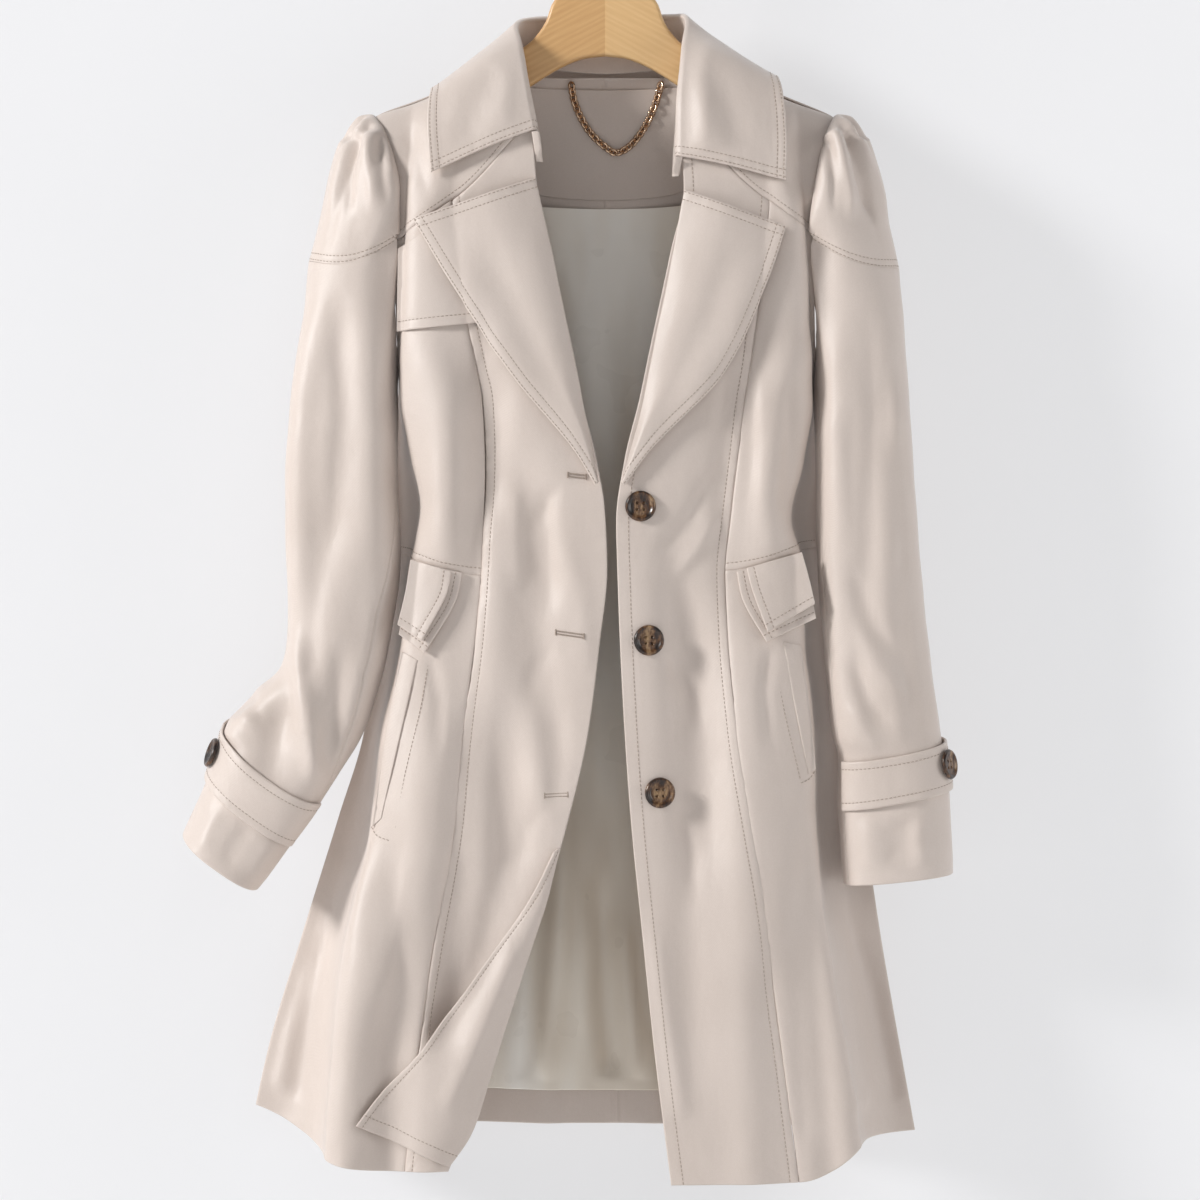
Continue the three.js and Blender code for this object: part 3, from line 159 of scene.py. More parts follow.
# Centre line of the back
BACK_KEYS = "z xc yc".split()
BACK = [
    (-157, 0, 29), (-230, 1, 37), (-320, 2, 42), (-400, 3, 44), (-560, 4, 42), (-760, 7, 44),
    (-1026, 11, 48),
]

# Large folds of the back: x0 z0 x1 z1 width rise
BACK_FOLDS = [
    (-60, -520, -105, -1026, 20, 6), (-30, -560, -50, -1026, 14, -5), (58, -520, 100, -1026, 20, 6),
    (30, -600, 44, -1026, 14, -5), (-130, -620, -175, -1010, 18, -5), (130, -620, 165, -1010, 18, -5),
]

# Edge of the armhole
ARMHOLE_KEYS = "z x".split()
ARMHOLE = {
    "left": [
        (-196, -192), (-208, -184), (-229, -176), (-256, -171.5), (-297, -172.5), (-350, -171.5),
        (-397, -170),
    ],
    "right": [
        (-196, 191), (-208, 185), (-229, 179), (-256, 174.5), (-297, 170.5), (-350, 171.5), (-397, 173),
    ],
}

# Rings of the sleeves: outer x z, inner x z, front y, back y, droop, turn of the seam
SLEEVE = {
    "left": [
        (-247, -368, -173.5, -419, -48, 20, 6, 176), (-255, -434, -172.5, -458, -52, 21, 3, 174),
        (-259, -484, -172.5, -500, -52, 21, 2, 168), (-258, -541, -169, -557, -52, 21, 2, 142),
        (-258, -598, -173.5, -598, -52, 21, 2, 130), (-264, -644, -182, -644, -53, 21, 5, 126),
        (-289, -670, -201, -701, -56, 21, 12, 134), (-308, -696, -231, -747, -52, 18, 18, 155),
        (-325, -737, -257, -786, -42, 16, 11, 162), (-346, -783, -286, -825, -42, 18, 8, 162),
    ],
    "right": [
        (244, -368, 175.5, -419, -48, 20, 6, 168), (248, -426, 174.5, -458, -52, 21, 3, 160),
        (251, -475, 174.5, -500, -52, 21, 2, 156), (256, -541, 176, -557, -52, 21, 2, 155),
        (261, -598, 179.5, -606, -52, 21, 2, 155), (266, -643, 183, -656, -52, 21, 3, 154),
        (271, -676, 187, -697, -51, 20, 5, 154), (275.5, -705, 192.5, -719, -44, 18, 6, 154),
        (281, -745, 193, -761, -42, 16, 4, 154), (284, -814, 197, -823, -44, 18, 2, 154),
    ],
}

# Long folds of the sleeves: angle width depth from to
SLEEVE_FOLDS = [
    (62, 22, 5, 0.5, 8.2), (104, 18, 3.5, 1, 8), (-70, 26, 5, 1, 8),
]

# Stations of the collar: neck line, roll line and edge
COLLAR_KEYS = "nx ny nz rx ry rz ex ey ez".split()
COLLAR = [
    (-54, -45, -234, -58, -54, -207, -142, -52, -242), (-59, -40, -205, -64, -47, -176, -145, -47, -205),
    (-76, -26, -172, -71, -27, -135, -144, -30, -176), (-83, -3, -148, -74, -2, -114, -139, 10, -169),
    (-65, 18, -150, -58, 20, -107, -100, 44, -182), (0, 28, -155, 0, 32, -106, 0, 54, -186),
    (65, 18, -150, 55, 20, -105, 100, 44, -180), (83, -3, -147, 68, -2, -109, 138, 10, -161),
    (76, -26, -172, 66, -27, -135, 144, -30, -166), (61, -41, -212, 62, -47, -182, 148, -47, -205),
    (58, -45, -246, 61, -54, -229, 147.6, -52, -248),
]

# Shoulder seams, sleeve caps and lapels
SHOULDER = {
    "left": dict(neckX=-82, neckZ=-150.5, tipX=-192, tipZ=-196),
    "right": dict(neckX=82, neckZ=-149.5, tipX=191, tipZ=-196),
}
CAP = {
    "left": dict(outerX=-242, outerZ=-312, frontZ=-294, droop=7, bulge=13),
    "right": dict(outerX=240, outerZ=-318, frontZ=-293, droop=3, bulge=14),
}
LAPEL = {
    "left": dict(
        roll=[(-56, -246), (-45, -297), (-30, -372), (-16, -436), (-5, -494)],
        edge=[(-157, -280), (-123, -336), (-70, -414), (-25, -469), (-8, -497)],
    ),
    "right": dict(
        roll=[(64, -256), (56, -300), (42, -372), (28, -440), (13, -494)],
        edge=[(147.6, -286), (132, -331), (97, -404), (35, -471), (16, -497)],
    ),
}

# Turned lower corner: its fold and its edge
CORNER_FOLD = [
    (-36, -792), (-46, -833), (-57, -867), (-74, -918), (-90, -970), (-108, -1025), (-126, -1052),
]
CORNER_EDGE = [
    (-41, -796), (-62, -834), (-90, -874), (-127, -925), (-152, -959), (-180, -989), (-202, -1017),
]

# Borders of the pieces that lie on the fronts: inner, outer
STORM_FLAP = ([(-115, -272), (-104, -322), (-98, -364)],
              [(-169, -303), (-169.5, -338), (-170, -371)])
FLAPS = {
    ("under", "left"): ([(-116, -568), (-122, -592), (-147, -633)],
              [(-158, -558), (-163, -590), (-168, -618)]),
    ("upper", "left"): ([(-125, -567), (-128, -583), (-149, -623)],
              [(-158.5, -557), (-163, -585), (-169, -610)]),
    ("under", "right"): ([(107, -567), (112, -590), (131, -624)],
              [(160, -552), (167, -580), (172, -605)]),
    ("upper", "right"): ([(115, -564), (119, -580), (132, -616)],
              [(160.5, -551), (167, -575), (171, -593)]),
}
WELTS = {
    "left": ([(-153, -639), (-165, -695), (-182, -768)],
              [(-166, -632), (-178, -695), (-190, -775)]),
    "right": ([(145, -624), (153, -669), (166, -732)],
              [(160, -627), (166, -669), (172, -728)]),
}

# Half of the hanger's outline, and the line of the chain
HANGER_HALF = dict(
    neck=[(-7, -72), (-20, -77), (-33, -88), (-43, -98), (-49, -114), (-59, -128), (-70, -137)],
    arm=[(-71.5, -141), (-82, -163), (-120, -177), (-176, -201), (-180, -208),
         (-176, -213), (-120, -194), (-84, -181)],
    arch=[(-61, -167), (-49, -159), (-36, -151.5), (-19, -144.5), (0, -142)],
)
CHAIN_ROUTE = [
    (-28, 21.1, -162), (-25, 22.6, -178), (-14, 24.7, -200), (0, 26.3, -214), (9, 26.8, -219),
    (20, 26.3, -214), (33, 24, -198), (42, 21.3, -178), (46.5, 19.2, -162),
]

# Materials

def linear(r, g, b):
    """An sRGB colour of 0 to 255 as linear RGBA."""
    one = lambda c: c / 12.92 if c <= 0.04045 else ((c + 0.055) / 1.055) ** 2.4
    return (*(one(c / 255) for c in (r, g, b)), 1.0)


class Look:
    """A node material with a principled shader and short calls for its nodes."""

    def __init__(self, name, **sockets):
        self.material = bpy.data.materials.new(name)
        self.material.use_nodes = True
        self.tree = self.material.node_tree
        self.shader = self.tree.nodes["Principled BSDF"]
        for key, value in sockets.items():
            self.shader.inputs[key.replace("_", " ")].default_value = value
        self.place = self.node("ShaderNodeTexCoord").outputs["Object"]

    def node(self, kind, links=None, **values):
        made = self.tree.nodes.new(kind)
        for key, value in values.items():
            if key in made.inputs:
                made.inputs[key].default_value = value
            else:
                setattr(made, key, value)
        for key, source in (links or {}).items():
            self.tree.links.new(source, made.inputs[key])
        return made

    def scaled(self, x, y, z):
        return self.node("ShaderNodeMapping", {"Vector": self.place}, Scale=(x, y, z)).outputs["Vector"]

    def noise(self, scale, detail=3, place=None, roughness=0.55):
        made = self.node("ShaderNodeTexNoise", {"Vector": place or self.place}, Scale=scale, Detail=detail)
        made.inputs["Roughness"].default_value = roughness
        return made.outputs["Fac"]

    def ramp(self, source, *stops):
        """Colours of 0 to 255 at places from 0 to 1."""
        made = self.node("ShaderNodeValToRGB", {"Fac": source})
        band = made.color_ramp
        while len(band.elements) < len(stops):
            band.elements.new(0.5)
        for element, (where, colour) in zip(band.elements, stops):
            element.position = where
            element.color = linear(*colour)
        return made.outputs["Color"]

    def math(self, operation, a, b):
        made = self.node("ShaderNodeMath", operation=operation)
        for slot, value in enumerate((a, b)):
            if isinstance(value, (int, float)):
                made.inputs[slot].default_value = value
            else:
                self.tree.links.new(value, made.inputs[slot])
        return made.outputs[0]

    def colour(self, source):
        self.tree.links.new(source, self.shader.inputs["Base Color"])

    def blend(self, a, share_a, b, share_b):
        return self.math("ADD", self.math("MULTIPLY", a, share_a), self.math("MULTIPLY", b, share_b))

    def rough(self, scale, low, spread):
        """Roughness that wanders from low to low + spread."""
        wander = self.math("ADD", self.math("MULTIPLY", self.noise(scale, 2), spread), low)
        self.tree.links.new(wander, self.shader.inputs["Roughness"])

    def bump(self, height, strength, distance, under=None):
        links = {"Height": height}
        if under is not None:
            links["Normal"] = under
        made = self.node("ShaderNodeBump", links, Strength=strength, Distance=distance)
        self.tree.links.new(made.outputs["Normal"], self.shader.inputs["Normal"])
        return made.outputs["Normal"]


def cloth_look(name, low, high, roughness, sheen):
    look = Look(name, Roughness=roughness, Sheen_Weight=sheen, Sheen_Roughness=0.45)
    tone = look.blend(look.noise(9, 3), 0.6, look.noise(900, 1), 0.4)
    look.colour(look.ramp(tone, (0.3, low), (0.7, high)))
    look.rough(35, roughness - 0.06, 0.12)
    wave = look.node("ShaderNodeTexWave", {"Vector": look.place}, bands_direction="DIAGONAL", Scale=480)
    wave.inputs["Distortion"].default_value = 1.2
    soft = look.bump(look.noise(28, 3, look.scaled(1.0, 1.0, 0.55)), 0.22, 0.006)
    fine = look.bump(look.noise(140, 3), 0.1, 0.0015, soft)
    look.bump(wave.outputs["Fac"], 0.16, 0.0003, fine)
    return look.material


def satin_look():
    look = Look("lining_satin", Roughness=0.3, Sheen_Weight=0.15, Sheen_Roughness=0.4)
    drape_and_sheen = look.noise(16, 2, look.scaled(1.0, 1.0, 0.22), 0.5)
    # The colour follows the same drape noise as the bump: painted sheen and painted shade of the satin's
    # folds, light on their ridges and dark in their hollows.
    look.colour(look.ramp(drape_and_sheen, (0.34, (214, 201, 184)), (0.5, (240, 231, 217)), (0.66, (252, 248, 240))))
    look.rough(24, 0.2, 0.2)
    soft = look.bump(drape_and_sheen, 0.6, 0.012)
    look.bump(look.noise(70, 3, look.scaled(1.0, 1.0, 0.4)), 0.2, 0.002, soft)
    return look.material


def thread_look():
    look = Look("sewing_thread", Roughness=0.55)
    look.colour(look.ramp(look.noise(2500, 2), (0.35, (158, 142, 129)), (0.7, (186, 170, 157))))
    return look.material


def horn_look():
    look = Look("button_horn", Roughness=0.3, Coat_Weight=0.2, Coat_Roughness=0.15)
    streak = look.noise(130, 4, look.scaled(1.0, 1.0, 0.4), 0.65)
    look.colour(look.ramp(
        streak, (0.38, (22, 12, 8)), (0.48, (46, 28, 17)), (0.56, (90, 60, 36)), (0.68, (158, 128, 94)),
    ))
    look.bump(look.noise(700, 2), 0.05, 0.0004)
    return look.material


GRAIN_SLOPE = 0.52          # fall of the hanger's arms
GRAIN_STRETCH = 0.08


def wood_look():
    """Grain along both arms, the left one from darker wood, joined in the middle."""
    look = Look("hanger_wood", Roughness=0.42, Coat_Weight=0.25, Coat_Roughness=0.25)
    split = look.node("ShaderNodeSeparateXYZ", {"Vector": look.place})
    fold = look.math("ABSOLUTE", split.outputs["X"], 0)
    across = look.math("ADD", split.outputs["Z"], look.math("MULTIPLY", fold, GRAIN_SLOPE))
    along = look.math("SUBTRACT", fold, look.math("MULTIPLY", split.outputs["Z"], GRAIN_SLOPE))
    axes = {"X": look.math("MULTIPLY", along, GRAIN_STRETCH), "Z": across, "Y": split.outputs["Y"]}
    grain = look.node("ShaderNodeCombineXYZ", axes).outputs["Vector"]
    rings = look.node("ShaderNodeTexWave", {"Vector": grain}, bands_direction="Z", Scale=58)
    rings.inputs["Distortion"].default_value = 5.0
    rings.inputs["Detail"].default_value = 3.0
    rings.inputs["Detail Scale"].default_value = 1.4
    pores = look.noise(420, 4, grain, 0.65)
    mixed = look.blend(rings.outputs["Fac"], 0.22, pores, 0.78)
    pale = look.ramp(mixed, (0.2, (214, 172, 118)), (0.55, (222, 182, 128)), (0.85, (229, 192, 140)))
    dark = look.ramp(mixed, (0.2, (198, 152, 98)), (0.55, (208, 164, 110)), (0.85, (217, 176, 122)))
    right = look.math("GREATER_THAN", split.outputs["X"], 0.0)
    both = look.node("ShaderNodeMix", data_type="RGBA")
    for socket, source in ((0, right), (6, dark), (7, pale)):
        look.tree.links.new(source, both.inputs[socket])
    look.colour(both.outputs[2])
    look.bump(pores, 0.08, 0.0004)
    return look.material


def metal_look(name, low, high, roughness, scale):
    look = Look(name, Metallic=1.0, Roughness=roughness)
    look.colour(look.ramp(look.noise(scale, 3), (0.3, low), (0.7, high)))
    look.rough(scale * 3, roughness - 0.07, 0.15)
    look.bump(look.noise(scale * 8, 2), 0.04, 0.0002)
    return look.material


CLOTH_LOOK = cloth_look("coat_cloth", (205, 191, 181), (213, 200, 191), 0.46, 0.3)
FACING_LOOK = cloth_look("coat_cloth_facing", (203, 189, 179), (211, 198, 189), 0.5, 0.28)
SATIN_LOOK = satin_look()
THREAD_LOOK = thread_look()
HORN_LOOK = horn_look()
WOOD_LOOK = wood_look()
STEEL_LOOK = metal_look("hook_steel", (188, 190, 194), (214, 216, 220), 0.24, 60)
BRASS_LOOK = metal_look("chain_brass", (184, 150, 122), (226, 198, 170), 0.2, 200)

# Small functions on numbers and arrays

def clip(value, low=0.0, high=1.0):
    return np.minimum(np.maximum(value, low), high)


def lerp(a, b, t):
    return a + (b - a) * t


def smooth(t):
    c = clip(t)
    return c * c * (3 - 2 * c)


def outward(side):
    return -1 if side == "left" else 1


def one_point(values):
    return np.array([float(v) for v in values])


def unit(vectors):
    return vectors / (np.linalg.norm(vectors, axis=-1, keepdims=True) + 1e-12)


def walked(points):
    """The distance from the first of a line of points to each of them."""
    return np.concatenate([[0], np.cumsum(np.linalg.norm(np.diff(points, axis=0), axis=1))])


def track(rows, keys, along, key):
    """A smooth curve through one column of a table, with no overshoot between rows."""
    a = keys.index(along)
    b = keys.index(key)
    order = sorted(rows, key=lambda row: row[a])
    t = np.array([row[a] for row in order], float)
    v = np.array([row[b] for row in order], float)
    rise = np.diff(v) / np.diff(t)
    slope = np.zeros(len(t))
    slope[0] = rise[0]
    slope[-1] = rise[-1]
    for i in range(1, len(t) - 1):
        if rise[i - 1] * rise[i] > 0:
            slope[i] = 2 / (1 / rise[i - 1] + 1 / rise[i])

    def at(where):
        q = clip(np.asarray(where, float), t[0], t[-1])
        i = np.clip(np.searchsorted(t, q, "left") - 1, 0, len(t) - 2)
        h = t[i + 1] - t[i]
        u = (q - t[i]) / h
        keep = (1 + 2 * u) * (1 - u) ** 2 * v[i] + u * u * (3 - 2 * u) * v[i + 1]
        return keep + h * u * (1 - u) * ((1 - u) * slope[i] - u * slope[i + 1])

    return at


def tracks(rows, keys, along):
    return {key: track(rows, keys, along, key) for key in keys if key != along}


def line(points):
    """A smooth line through a few points, walked from 0 to 1 (centripetal spline)."""
    full = np.array([tuple(p) + (0,) * (3 - len(p)) for p in points], float)
    first = 2 * full[0] - full[1]
    last = 2 * full[-1] - full[-2]
    ends = np.vstack([first, full, last])

    def at(where):
        q = clip(np.asarray(where, float)) * (len(full) - 1)
        i = np.clip(np.floor(q).astype(int), 0, len(full) - 2)
        w = (q - i)[..., None]
        p0, p1, p2, p3 = (ends[i + k] for k in range(4))
        pairs = ((p0, p1), (p1, p2), (p2, p3))
        d0, d1, d2 = (np.sqrt(np.linalg.norm(b - a, axis=-1))[..., None] for a, b in pairs)
        s1 = ((p1 - p0) / d0 - (p2 - p0) / (d0 + d1) + (p2 - p1) / d1) * d1
        s2 = ((p2 - p1) / d1 - (p3 - p1) / (d1 + d2) + (p3 - p2) / d2) * d1
        return p1 + s1 * w + (3 * p2 - 3 * p1 - 2 * s1 - s2) * w ** 2 + (2 * p1 - 2 * p2 + s1 + s2) * w ** 3

    return at


def fold_rise(folds, x, z):
    """Height of long straight folds, each with a width and a rise."""
    total = 0
    for x0, z0, x1, z1, width, rise in folds:
        t = (z - z0) / (z1 - z0)
        off = (x - lerp(x0, x1, t)) / width
        ends = smooth((t + 0.12) / 0.3) * (1 if z1 < -1000 else smooth((1.12 - t) / 0.3))
        total = total + rise * np.exp(-off * off) * ends
    return total


# Surfaces of the coat: each gives arrays x, y, z

SIDES = ("left", "right")
FRONT_TRACK = {side: tracks(FRONT[side], FRONT_KEYS, "z") for side in SIDES}
SEAM_TRACK = {side: tracks(SEAMS[side], SEAMS_KEYS, "g") for side in SIDES}
ARMHOLE_TRACK = {side: track(ARMHOLE[side], ARMHOLE_KEYS, "z", "x") for side in SIDES}
BACK_TRACK = tracks(BACK, BACK_KEYS, "z")


def armhole_depth(z, reach, pit_y):
    """The armhole from the side: two quarter rounds that meet at the yoke seam."""
    high = clip((z - YOKE_Z) / (SHOULDER_Z - YOKE_Z))
    low = clip((z - ARMPIT_Z) / (YOKE_Z - ARMPIT_Z))
    above = RIDGE_TOP + (reach - RIDGE_TOP) * np.sqrt(1 - high * high)
    below = pit_y + (reach - pit_y) * np.sqrt(2 * low - low * low)
    return np.where(z > YOKE_Z, above, below)


def armhole_front(side, z):
    return ARMHOLE_TRACK[side](z), armhole_depth(z, ARMHOLE_FRONT, ARMPIT_Y), z


def armhole_back(side, z):
    return ARMHOLE_TRACK[side](z), armhole_depth(z, ARMHOLE_BACK, ARMPIT_Y + PLY + CLOTH), z


def side_point(side, z):
    f = FRONT_TRACK[side]
    x, y, _ = armhole_front(side, z)
    above = z > ARMPIT_Z
    return np.where(above, x, f["x3"](z)), np.where(above, y, f["y3"](z))


def front_skin(side, g, z):
    """Outer face of a front: g is 0 at its edge, 1 at the princess seam, 2 at the ridge, 3 at the side."""
    f = FRONT_TRACK[side]
    x0, x1, x2 = f["x0"](z), f["x1"](z), f["x2"](z)
    y0, y1, y2 = f["y0"](z), f["y1"](z), f["y2"](z)
    near_x = lerp(x0, x1, g)
    near_y = lerp(y0, y1, g) - 3 * np.sin(np.pi * g)
    u = 1 - np.power(clip(2 - g, 0, 9), 1.5)
    mid_x = lerp(x1, x2, u)
    mid_y = lerp(y1, y2, 1 - np.sqrt(clip(1 - u ** 4))) - 2 * np.sin(np.pi * u)
    w = g - 2
    end_x, end_y = side_point(side, z)
    far_x = (1 - w) ** 2 * x2 + 2 * w * (1 - w) * lerp(x2, end_x, 0.1) + w * w * end_x
    far_y = (1 - w) ** 2 * y2 + 2 * w * (1 - w) * end_y + w * w * end_y
    x = np.where(g <= 1, near_x, np.where(g <= 2, mid_x, far_x))
    y = np.where(g <= 1, near_y, np.where(g <= 2, mid_y, far_y))
    fade = 1 - smooth((g - 1.8) / 0.4)
    return x, y - fade * fold_rise(FRONT_FOLDS[side], x, z), z + 0 * x


def girth_at(side, x, z):
    """The g of front_skin that lies at x and z, found by halving."""
    out = outward(side)
    low = np.zeros_like(x)
    high = low + 2
    for _ in range(22):
        mid = (low + high) / 2
        short = front_skin(side, mid, z)[0] * out < x * out
        low = np.where(short, mid, low)
        high = np.where(short, high, mid)
    return (low + high) / 2


def on_front(side, x, z, lift, level=1.86):
    """Places of the front view carried to a front, at most to a level of its girth, and lifted off it."""
    g = np.minimum(girth_at(side, x, z), level)
    return x, front_skin(side, g, z)[1] - lift, z


def shoulder_point(side, t):
    s = SHOULDER[side]
    return lerp(s["neckX"], s["tipX"], t), RIDGE_TOP * t, lerp(s["neckZ"], s["tipZ"], t)


def back_top(side, t):
    s = SHOULDER[side]
    x, y, z = shoulder_point(side, (t - NECK_SHARE) / (1 - NECK_SHARE))
    a = clip(t / NECK_SHARE) * np.pi / 2
    past = t >= NECK_SHARE
    return (
        np.where(past, x, s["neckX"] * np.sin(a)),
        np.where(past, y + PLY, lerp(PLY, NECK_BACK_Y, np.cos(a))),
        np.where(past, z, lerp(s["neckZ"], NECK_BACK_Z, np.power(clip(np.cos(a)), 0.7))),
    )


def back_skin(side, t, row):
    """Outer face of a back: t is 0 at the centre and 1 at the side, row is 0 top, 1 armpit, 2 hem."""
    s = SEAM_TRACK[side]
    t = clip(t)
    top_x, top_y, top_z = back_top(side, t)
    z_up = lerp(top_z, ARMPIT_Z, clip(row))
    edge_x, edge_y, _ = armhole_back(side, z_up)
    pit_x = ARMHOLE_TRACK[side](ARMPIT_Z)
    inner = lerp(top_x, lerp(BACK_TRACK["xc"](z_up), pit_x, t), clip(row))
    settle = np.where(row > 0.625, 1, np.sqrt(clip(3.2 * row - 2.56 * row * row)))
    crown = lerp(top_y, lerp(BACK_TRACK["yc"](z_up), BACK_SIDE_Y, t ** BACK_ROUND), settle)
    pull = t ** 6
    x_up = lerp(inner, edge_x, pull)
    y_up = lerp(crown, edge_y, pull)
    hem = lerp(BACK_HEM_Z, s["hem"](3), t ** 3)
    waist = s["waist"](3)
    waist_row = (ARMPIT_Z - waist) / (ARMPIT_Z - s["hem"](3))
    below = clip(row - 1, 0, 9)
    z_low = np.where(
        below < waist_row,
        lerp(ARMPIT_Z, waist, below / waist_row),
        lerp(waist, hem, (below - waist_row) / (1 - waist_row)),
    )
    end_x, end_y = side_point(side, z_low)
    x_low = lerp(BACK_TRACK["xc"](z_low), end_x, t)
    y_low = lerp(BACK_TRACK["yc"](z_low), end_y + PLY + CLOTH, t ** BACK_ROUND)
    upper = row <= 1
    x = np.where(upper, x_up, x_low)
    y = np.where(upper, y_up, y_low)
    z = np.where(upper, z_up, z_low)
    fade = 1 - smooth((t - 0.75) / 0.25)
    return x, y + fade * fold_rise(BACK_FOLDS, x, z), z


def sleeve_edge(side, z, in_front, from_top=90.0):
    """Where the sleeve meets the armhole at a height."""
    fx, fy, _ = armhole_front(side, z)
    _, by, _ = armhole_back(side, z)
    rise = z - ARMPIT_Z
    stand = SLEEVE_STAND * smooth((rise - 2) / 18)
    lap = smooth((rise - 54) / 26)
    a = np.radians(from_top)
    x = fx + outward(side) * lerp(ARMHOLE_GAP, -ARMHOLE_LAP, lap)
    y = np.where(in_front, fy, by) + np.where(in_front, -1, 1) * stand * np.sin(a)
    return x, y, z + stand * np.cos(a)


def cap_seam(side, q):
    """Seam between cap and sleeve, from q = -1 behind to 1 in front."""
    cap = CAP[side]
    phi = np.radians(np.abs(q) * CAP_TURN)
    end = sleeve_edge(side, cap["frontZ"] + 0 * q, q >= 0)
    share = (1 - np.cos(phi)) / (1 - math.cos(math.radians(CAP_TURN)))
    middle = (CAP_FRONT_Y + CAP_BACK_Y) / 2
    reach = np.where(q >= 0, CAP_FRONT_Y, CAP_BACK_Y)
    around = lerp(middle, reach, np.sin(np.minimum(phi, np.pi / 2)))
    y = lerp(around, end[1], smooth((np.abs(q) - 0.72) / 0.28))
    droop = cap["droop"] * np.sin(np.pi * share) * np.sign(q)
    return lerp(cap["outerX"], end[0], share), y, lerp(cap["outerZ"], end[2], share * share) - droop


def first_ring(side, angle):
    """Upper border of a sleeve: the cap seam and the armhole under it."""
    turn = np.where(angle > 180, angle - 360, angle)
    cx, cy, cz = cap_seam(side, clip(turn / CORNER, -1, 1))
    w = np.radians(90 * clip((180 - np.abs(turn)) / (180 - CORNER)))
    z = lerp(ARMPIT_Z, CAP[side]["frontZ"], 1 - np.cos(w))
    ex, ey, ez = sleeve_edge(side, z, turn > 0)
    on_cap = np.abs(turn) <= CORNER
    return np.where(on_cap, cx, ex), np.where(on_cap, cy, ey), np.where(on_cap, cz, ez)


def table_ring(side, i, angle):
    """Outline of a sleeve at a row of its table."""
    rows = np.array(SLEEVE[side], float)
    ox, oz, ix, iz, yf, yb, droop, _ = np.moveaxis(rows[np.clip(i, 1, len(rows)) - 1], -1, 0)
    a = np.radians(angle)
    c = np.sign(np.cos(a)) * np.abs(np.cos(a)) ** 0.8
    s = np.sign(np.sin(a)) * np.abs(np.sin(a)) ** 0.9
    return lerp(ix, ox, (1 + c) / 2), lerp(yb, yf, (1 + s) / 2), lerp(iz, oz, (1 + c) / 2) - droop * s


def sleeve_skin(side, angle, ring):
    """Inner face of a sleeve's cloth, smooth through the rings of its table."""
    count = len(SLEEVE[side])
    first = np.stack(first_ring(side, angle))

    def at(i):
        return np.where(i <= 0, first, np.stack(table_ring(side, np.minimum(i, count), angle)))

    i = np.clip(np.floor(ring).astype(int), 0, count - 1)
    u = ring - i
    before, start, end, after = at(i - 1), at(i), at(i + 1), at(i + 2)
    go = np.where(i == 0, end - start, (end - before) / 2)
    stop = np.where(i == count - 1, end - start, (after - start) / 2)
    x, y, z = lerp(start, end, u * u * (3 - 2 * u)) + u * (1 - u) * ((1 - u) * go - u * stop)
    rows = np.array(SLEEVE[side], float)[np.clip(i - 1, 0, count - 1)]
    mid_x = (rows[..., 0] + rows[..., 2]) / 2
    mid_y = (rows[..., 4] + rows[..., 5]) / 2
    for fold_angle, width, depth, begin, finish in SLEEVE_FOLDS:
        turn = (angle - fold_angle + 540) % 360 - 180
        ends = smooth((ring - begin) / 1.5) * smooth((finish - ring) / 1)
        sink = depth * np.exp(-((turn / width) ** 2)) * ends
        away = np.hypot(x - mid_x, y - mid_y) + 1e-9
        x, y = x - sink * (x - mid_x) / away, y - sink * (y - mid_y) / away
    return x, y, z


def seam_angle(side, ring):
    """Turn of the seam between upper and under sleeve."""
    rows = SLEEVE[side]
    return np.interp(ring, np.arange(1, len(rows) + 1), [row[-1] for row in rows])


def cap_skin(side, q, v):
    """Inner face of a sleeve cap, from the armhole, v = 0, to its seam, v = 1."""
    v = clip(v)
    size = np.abs(q)
    z = YOKE_Z + (SHOULDER_Z - YOKE_Z) * np.cos(size * np.pi / 2)
    top = sleeve_edge(side, z, q >= 0, size * 90)
    low = cap_seam(side, q)
    phi = np.radians(q * CAP_TURN)
    swell = CAP[side]["bulge"] * (1 - size ** 4) * np.sin(np.pi * np.sqrt(v))
    gather = 2.5 * np.cos(q * 19) * (1 - smooth((size - 0.7) / 0.25)) * v * (1 - v) ** 2
    away = swell + gather
    return (
        lerp(top[0], low[0], v) + outward(side) * away * np.cos(phi) * 0.9,
        lerp(top[1], low[1], v) - away * np.sin(phi),
        lerp(top[2], low[2] + CAP_LAP, v) + away * 0.42,
    )


def yoke_skin(side, u, v):
    u, v = clip(u), clip(v)
    top = shoulder_point(side, u)
    g = 3 * u
    low = front_skin(side, g, SEAM_TRACK[side]["yoke"](g))
    z = lerp(top[2], low[2], v)
    x = lerp(lerp(top[0], low[0], v), ARMHOLE_TRACK[side](z), u ** 8)
    return x, lerp(top[1], low[1], np.sqrt(2 * v - v * v)), z


def collar_lines(u, *keys):
    picks = [COLLAR_KEYS.index(k) for k in keys]
    return np.moveaxis(line([[row[i] for i in picks] for row in COLLAR])(u), -1, 0)


def collar_skin(u, v):
    roll = collar_lines(u, "rx", "ry", "rz")
    edge = collar_lines(u, "ex", "ey", "ez")
    bulge = np.sin(np.pi * np.minimum(1, v * 1.15)) * 6
    back = smooth((np.sin(np.pi * u) - 0.6) / 0.3)
    return (
        lerp(roll[0], edge[0], v),
        lerp(roll[1], edge[1], v) + lerp(-bulge * 0.5, bulge, back),
        lerp(roll[2], edge[2], v) + bulge * 0.2 * (1 - back),
    )


def from_neck(x, y):
    """Unit direction away from the middle of the neck."""
    reach = np.hypot(x, y - NECK_MIDDLE_Y)
    return x / reach, (y - NECK_MIDDLE_Y) / reach


